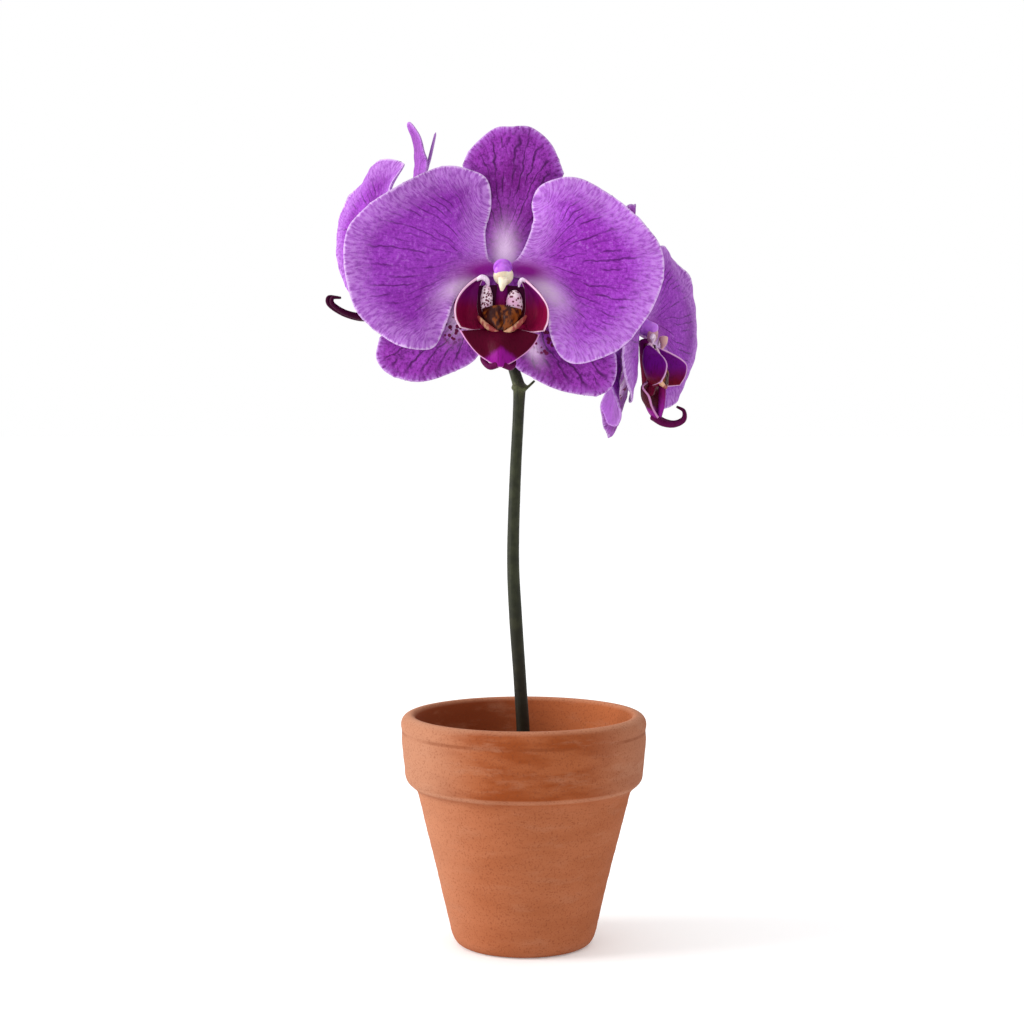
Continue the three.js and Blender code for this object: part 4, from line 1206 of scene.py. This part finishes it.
MIDDLE_HANGING = [
    [(-13.2, 8.6, -19.6), (-6.6, 6.4, -19.2), (-0.6, 5.2, -18.2), (5.6, 6.4, -19.4), (11.4, 8.6, -20.8)],
    [(-11.2, 9.6, -22.8), (-5.8, 9.0, -22.2), (-0.6, 9.6, -20.8), (5.2, 9.0, -22.4), (10.0, 9.6, -23.4)],
    [(-8.0, 10.6, -26.6), (-4.4, 10.8, -25.6), (-0.7, 12.4, -24.2), (3.9, 10.8, -25.4), (8.0, 10.6, -25.8)],
    [(-4.4, 12.0, -29.2), (-2.8, 12.3, -28.6), (-0.8, 13.8, -27.6), (2.0, 12.3, -28.4), (3.9, 12.0, -28.8)],
    [(-1.5, 13.4, -30.9), (-1.2, 13.5, -30.9), (-0.8, 13.7, -30.9), (-0.3, 13.5, -30.9), (0.1, 13.4, -30.9)],
]
MIDDLE_SIDE = [
    [(-7.5, 4.4, -18.4), (-4.0, 3.4, -18.6), (-0.4, 3.0, -18.8), (3.4, 3.4, -18.8), (6.8, 4.4, -18.8)],
    [(-10.5, 3.4, -20.2), (-5.5, 1.9, -22.6), (-0.4, 1.2, -23.4), (5.0, 1.9, -22.8), (9.8, 3.4, -20.8)],
    [(-8.4, 5.0, -23.2), (-4.6, 3.4, -25.8), (-0.4, 2.8, -26.8), (4.2, 3.4, -26.0), (8.0, 5.0, -23.6)],
    [(-5.8, 5.4, -26.6), (-3.2, 4.2, -28.4), (-0.4, 3.8, -29.2), (2.8, 4.2, -28.6), (5.2, 5.4, -27.0)],
    [(-3.0, 6.2, -29.4), (-1.8, 5.6, -30.2), (-0.4, 5.2, -30.6), (1.2, 5.6, -30.4), (2.4, 6.2, -29.6)],
    [(-1.1, 7.0, -31.2), (-0.8, 7.0, -31.3), (-0.4, 7.0, -31.4), (0.0, 7.0, -31.3), (0.4, 7.0, -31.2)],
]
TENDRILS_HANGING = [
    [(-1.6, 13.0, -30.0), (-4.0, 12.0, -30.6), (-6.0, 10.2, -28.8), (-6.4, 8.4, -26.8)],
    [(0.2, 13.0, -30.0), (2.4, 11.4, -30.8), (3.4, 9.2, -29.6), (3.2, 7.4, -27.8)],
]
TENDRILS_SIDE = [
    [(-0.7, 4.6, -30.2), (-0.9, 8.0, -32.4), (-1.0, 12.0, -33.0), (-1.2, 15.3, -31.4),
     (-1.4, 15.4, -28.4), (-1.5, 13.0, -26.9)],
    [(0.2, 4.6, -30.2), (0.6, 7.9, -32.0), (0.9, 11.6, -32.5), (1.2, 14.6, -31.0),
     (1.5, 14.7, -28.4), (1.7, 12.7, -27.1)],
]

# %% [markdown]
# ## Finishes of the lip
# The side lobes are wine red, going over to violet at the top, with a thin pale margin. The
# middle lobe is a deeper magenta with a bright ridge. The callus is golden brown with dark
# stripes, and the folds beside it are nearly white with wine-red spots. The lobes shine less
# than real ones would, since a white studio mirrored in them would wash out the dark reds.

# %% Wine-red lobes
def lip_finish(name, low, high, rim_colour, rim_width, fold, arrow=0.0):
    """Two colours by height in the bloom, a pale margin and faint veins."""
    material = start_finish(name, roughness=0.45, specular_ior_level=0.04)
    where = placed(material)
    across, rim, up = stored(material, "lip_map")
    mottle = grain(where, 420.0, 4.0)
    vein = grain(squeezed(where, (4, 4, 0.5)), 420.0)
    bent = up + (mottle - 0.5) * 3.0
    if arrow:
        bent = bent + abs(across + 0.7) * arrow
    colour = mixed(fade(bent, *fold), low, high)
    colour = mixed(fade(vein, 0.5, 0.7) * 0.4, colour, paint(48, 1, 16))
    colour = mixed(fade(rim, rim_width, rim_width * 0.3), colour, rim_colour)
    return complete(material, colour, vein + mottle, 0.0002, 0.5)


# name: colours low, high and at the rim, the rim's width in mm, heights of the change, arrow
LOBE_COLOURS = {
    "lip_wine": ((116, 6, 50), (104, 10, 92), (232, 186, 214), 0.4, (-14.0, -7.0), 0),
    "lip_magenta": ((134, 16, 128), (76, 1, 30), (206, 140, 190), 0.35, (-25.8, -23.4), 0.75),
    "lip_ridge": ((150, 30, 150), (120, 8, 84), (150, 30, 150), 0.1, (-29, -21), 0),
    "lip_tendril": ((88, 10, 66), (58, 6, 40), (88, 10, 66), 0.1, (-31, -25), 0),
    "lip_violet": ((104, 6, 34), (114, 16, 134), (214, 160, 206), 0.4, (-19.0, -12.0), 0),
    "lip_throat": ((64, 3, 18), (56, 4, 40), (64, 4, 30), 0.1, (-15, -8), 0),
    "lip_pale": ((226, 196, 226), (236, 212, 236), (240, 222, 240), 0.1, (-7, -3), 0),
}
lobe_skins = {
    name: lip_finish(name, paint(*low), paint(*high), paint(*rim), *measures)
    for name, (low, high, rim, *measures) in LOBE_COLOURS.items()
}
print("finishes of the lobes:", len(lobe_skins))


# %% Spotted folds and callus
def spotted_finish():
    material = start_finish("spotted_fold", roughness=0.4, specular_ior_level=0.3)
    where = placed(material)
    cells = add_node(where.tree, "ShaderNodeTexVoronoi", {"Vector": where, "Scale": 1150.0})
    fine = grain(where, 900.0, 2.0)
    blush = fade(grain(where, 300.0, 2.0), 0.35, 0.7)
    colour = mixed(blush, paint(236, 214, 226), paint(214, 160, 196))
    colour = mixed(fade(cells + fine * 0.3, 0.6, 0.5), colour, paint(96, 10, 52))
    return complete(material, colour, fine, 0.0002, 0.5)


def callus_finish(name, light, dark, stripes):
    material = start_finish(name, roughness=0.4, specular_ior_level=0.2)
    band = grain(squeezed(placed(material), (1.0, 1.0, 0.45)), stripes, 3.0)
    colour = mixed(fade(band, 0.38, 0.52), light, dark)
    return complete(material, colour, band, 0.0002, 0.6)


LIP_SKINS = [
    *[lobe_skins[name] for name in ("lip_wine", "lip_magenta", "lip_ridge", "lip_tendril")],
    spotted_finish(),
    callus_finish("callus_gold", paint(130, 64, 16), paint(52, 8, 6), 520.0),
    callus_finish("callus_cream", paint(222, 170, 134), paint(150, 60, 60), 260.0),
    *[lobe_skins[name] for name in ("lip_violet", "lip_throat", "lip_pale")],
]
WINE, MAGENTA, RIDGE, TENDRIL, SPOTTED, GOLD, CREAM, VIOLET, THROAT, PALE = range(10)
print("finishes of the lip:", len(LIP_SKINS))

# %% [markdown]
# ## Fleshy parts of the lip
# Between the lobes stand two spotted folds, two cream arms and a pale brow on each side, all
# of them fleshy and round. Tubes and egg shapes stand for them, which is less than a real lip
# has, but shows the same light and dark spots. One function puts each bloom's lip together.

# %% Fleshy rods of the lip
LIP_ROOT = -4.5  # the lip hangs from this height in its bloom
TENDRIL_ROOT = 4.6  # the tendrils start this far forward
ARM_LEFT = [(-1.2, 8.6, -20.2), (-4.2, 7.8, -18.6), (-6.2, 6.8, -16.9), (-7.6, 5.8, -15.2)]
ARM_RIGHT = [(0.0, 8.6, -20.4), (3.4, 7.8, -18.8), (5.6, 6.8, -16.9), (7.2, 5.8, -15.0)]
BROW_LEFT = [(-8.0, 5.6, -3.9), (-6.4, 5.8, -3.1), (-5.0, 5.6, -3.9), (-4.4, 5.0, -5.6)]
BROW_RIGHT = [(7.0, 5.2, -4.4), (6.0, 5.6, -3.8), (5.2, 5.2, -4.8), (5.0, 4.8, -6.0)]
RODS = [
    (CREAM, ARM_LEFT, [0.7, 0.9, 0.8, 0.4]),
    (CREAM, ARM_RIGHT, [0.7, 0.9, 0.8, 0.4]),
    (PALE, BROW_LEFT, [0.5, 0.8, 0.8, 0.4]),
    (PALE, BROW_RIGHT, [0.4, 0.6, 0.6, 0.3]),
]
EGGS = [
    (WINE, (-0.4, 5.2, -18.2), (7.8, 2.6, 2.2)),
    (SPOTTED, (-5.0, 4.4, -10.2), (1.9, 1.7, 5.0)),
    (SPOTTED, (3.6, 4.4, -11.4), (2.6, 1.7, 4.4)),
]
NO_RIM = 9.0  # a distance from the margin that the pale rim never reaches
print("rods and eggs of a lip:", len(RODS) + len(EGGS))


# %% Put the lip together
def build_lip(bloom):
    hanging = bloom == "front"
    drop, (stretch, lift), forward_share = (BLOOMS[bloom][k] for k in ("drop", "tendril", "lobe"))

    def put(points):
        """The points with the lip's drop, for a whole list of them."""
        p = np.array(points, float)
        up = np.maximum(p[..., 2], LIP_ROOT) + drop * np.minimum(p[..., 2] - LIP_ROOT, 0)
        return np.stack([p[..., 0], p[..., 1], up], -1)

    def sunk(rows, share):
        """A side lobe's rows, lower at the top in a side bloom, and less far forward."""
        p = np.array(rows, float)
        if not hanging:
            p[..., 2] -= 3.5 * np.clip((p[..., 2] + 14) / 10, 0, 1)
        p[..., 1] = 2 + (p[..., 1] - 2) * share
        return p

    def stretched(path):
        """A tendril that reaches further and rises more."""
        p = np.array(path, float)
        past = p[:, 1] - TENDRIL_ROOT
        return np.stack([p[:, 0], TENDRIL_ROOT + stretch * past, p[:, 2] + lift * past], -1)

    def egg(centre, radii):
        return ellipsoid(put([centre])[0], radii, 28, 18)

    def rod(path, radii, steps=24, sides=16):
        return tube(put(path), radii, steps, sides)

    lobe_kind = WINE if hanging else VIOLET
    middle = MIDDLE_HANGING if hanging else MIDDLE_SIDE
    bodies = [
        (lobe_kind, *lobe_sheet(put(sunk(LOBE_LEFT, forward_share)), 44, 28, 0.9, 0.12)),
        (lobe_kind, *lobe_sheet(put(sunk(LOBE_RIGHT, 1)), 44, 28, 0.9, 0.12)),
        (THROAT, *lobe_sheet(put(THROAT_BACK), 24, 28, 0.9)),
        (GOLD, *lobe_sheet(put(CALLUS), 30, 40, 1.2, 0.25)),
        (MAGENTA, *lobe_sheet(put(middle), 40, 44, 1.2, 0.15)),
    ]
    tip = (-0.8, 14.0, -30.9) if hanging else (-0.4, 7.0, -31.2)
    claw_end = (-0.4, 5.6, -19.2) if hanging else (-0.4, 2.8, -22.4)
    claw = [(-0.2, 1.4, -4.85), (-0.3, 2.0, -11), (-0.4, 3.2, -16), claw_end]
    keel_middle = (-0.7, (tip[1] + 8) / 2, (tip[2] - 20.2) / 2)
    keel = [(-0.6, 7.6, -19.8), keel_middle, (tip[0], tip[1] - 0.4, tip[2] + 0.6)]
    rods = [(kind, rod(path, radii)) for kind, path, radii in RODS]
    rods += [(kind, egg(centre, radii)) for kind, centre, radii in EGGS]
    rods.append((WINE, rod(claw, [2.0, 2.3, 2.9, 2.6 if hanging else 2.1])))
    rods.append((RIDGE, rod(keel, [1.3, 1.2, 0.8])))
    radii = [1.1, 1.0, 0.8, 0.5] if hanging else [1.5, 1.2, 0.95, 0.8, 0.65, 0.42]
    for path in TENDRILS_HANGING if hanging else TENDRILS_SIDE:
        rods.append((TENDRIL, rod(stretched(path), radii, 48, 16)))
    bodies += [(kind, p, f, np.full(len(p), NO_RIM)) for kind, (p, f) in rods]

    points, faces, owner = together([(p, f) for _, p, f, _ in bodies])
    rims = np.concatenate([r for *_, r in bodies])
    maps = {"lip_map": np.stack([points[:, 0], rims, points[:, 2]], 1)}
    name, node = f"{bloom}_lip_flesh", f"{bloom}_lip"
    place = on_plant(bloom, points)
    piece = make_piece(name, place, faces, LIP_SKINS, node, maps=maps)
    kinds = [bodies[k][0] for k in owner]
    piece.data.polygons.foreach_set("material_index", kinds)
    return piece


for bloom in BLOOMS:
    lip = build_lip(bloom)
    print(lip.name, "faces:", len(lip.data.polygons))

# %% [markdown]
# ## Column and anther cap
# Above the lip the column stands forward, with the pollen under a small cap at its end. The
# column is a short tube, and the cap a dome with a beak. Its cream colour is the brightest
# spot of the bloom, so it gets a shine of its own.

# %% Column and cap finishes
def smooth_finish(name, base, tint, scale, rough):
    material = start_finish(
        name, roughness=rough, specular_ior_level=0.3, subsurface_weight=0.1, subsurface_scale=0.001
    )
    soft = grain(placed(material), scale, 3.0)
    return complete(material, mixed(fade(soft, 0.35, 0.7), base, tint), soft, 0.0002, 0.4)


cap_tan = smooth_finish("cap_tan", paint(206, 160, 150), paint(180, 120, 160), 320.0, 0.4)
column_lilac = smooth_finish("column_lilac", paint(196, 112, 230), paint(150, 60, 190), 260.0, 0.4)
cap_cream = smooth_finish("cap_cream", paint(240, 230, 206), paint(220, 200, 170), 320.0, 0.35)
print("small finishes:", column_lilac.name, cap_cream.name, cap_tan.name)

# %% Build the columns and caps
CAP_TILT = 0.15  # radians down from straight forward
CAP_AT = (0.2, 2.8, -2.4)
CAP_SIDES = 40
COLUMN_PATH = [(0, 1.02, 0), (0, 2.0, -0.4), (0, 3.2, -0.9), (0, 4.3, -1.4)]
BEAK_PATH = [(0.1, 7.8, -3.8), (-0.1, 7.9, -5.5), (-0.3, 7.4, -7.2)]

cap_profile = refine([(0, 0), (2.9, 0), (3.2, 0.9), (2.7, 2.0), (1.5, 2.8), (0, 3.1)], 0.25, 4)[1:-1]
cos, sin = math.cos(CAP_TILT), math.sin(CAP_TILT)
dome_points = []
for r, z in cap_profile:
    for right, up, _ in circle(r, 0, CAP_SIDES):
        dome_points.append((right, z * cos + up * sin, up * cos - z * sin))
dome = (np.array(dome_points) + CAP_AT, ring_faces(len(cap_profile), CAP_SIDES))
column_points, column_faces = tube(COLUMN_PATH, [3.0, 2.75, 2.75, 2.7], 30, 36)
beak = tube(BEAK_PATH, [1.6, 1.2, 0.5], 24, 20)
cap_points, cap_faces, _ = together([dome, beak])
for bloom in BLOOMS:
    make_piece(
        f"{bloom}_column_skin",
        on_plant(bloom, column_points),
        column_faces,
        column_lilac,
        f"{bloom}_column",
    )
    make_piece(
        f"{bloom}_cap_skin",
        on_plant(bloom, cap_points),
        cap_faces,
        cap_cream if bloom == "front" else cap_tan,
        f"{bloom}_anther_cap",
    )
print("faces of a column and a cap:", len(column_faces), len(cap_faces))

# %% [markdown]
# ## Floor and light
# The plant stands on a plain white sweep in a bright studio. A white world gives the even
# light from all round, one large soft lamp from the left gives the form its shading and the
# faint shadow to the right, and the floor is pale enough to melt into the background.

# %% Floor
FLOOR_HALF = 6.0
FLOOR_GLOW = 0.16  # makes up for the light that a real floor takes away

floor_mesh = bpy.data.meshes.new("floor")
corners = [(x * FLOOR_HALF, y * FLOOR_HALF, 0) for x, y in ((-1, -1), (1, -1), (1, 1), (-1, 1))]
floor_mesh.from_pydata(corners, [], [(0, 1, 2, 3)])
floor = into_scene("floor", floor_mesh)
white_floor = start_finish(
    "white_floor",
    roughness=0.9,
    base_color=(0.9, 0.9, 0.9, 1),
    emission_color=(1, 1, 1, 1),
    emission_strength=FLOOR_GLOW,
)
floor_mesh.materials.append(white_floor)
print("floor:", 2 * FLOOR_HALF, "m square")

# %% Light
world = bpy.data.worlds.new("studio")
world.use_nodes = True
background = world.node_tree.nodes["Background"]
background.inputs["Color"].default_value = (1, 1, 1, 1)
background.inputs["Strength"].default_value = 1.0
bpy.context.scene.world = world
bpy.context.scene.view_settings.view_transform = "Standard"


def soft_lamp(name, place, aim, size, power):
    data = bpy.data.lights.new(name, "AREA")
    data.size, data.energy = size, power
    lamp = into_scene(name, data)
    lamp.location = place
    lamp.rotation_euler = (Vector(aim) - Vector(place)).to_track_quat("-Z", "Y").to_euler()


soft_lamp("key", place=(-1.55, -0.27, 0.7), aim=(0, 0, 0.12), size=0.8, power=24.0)
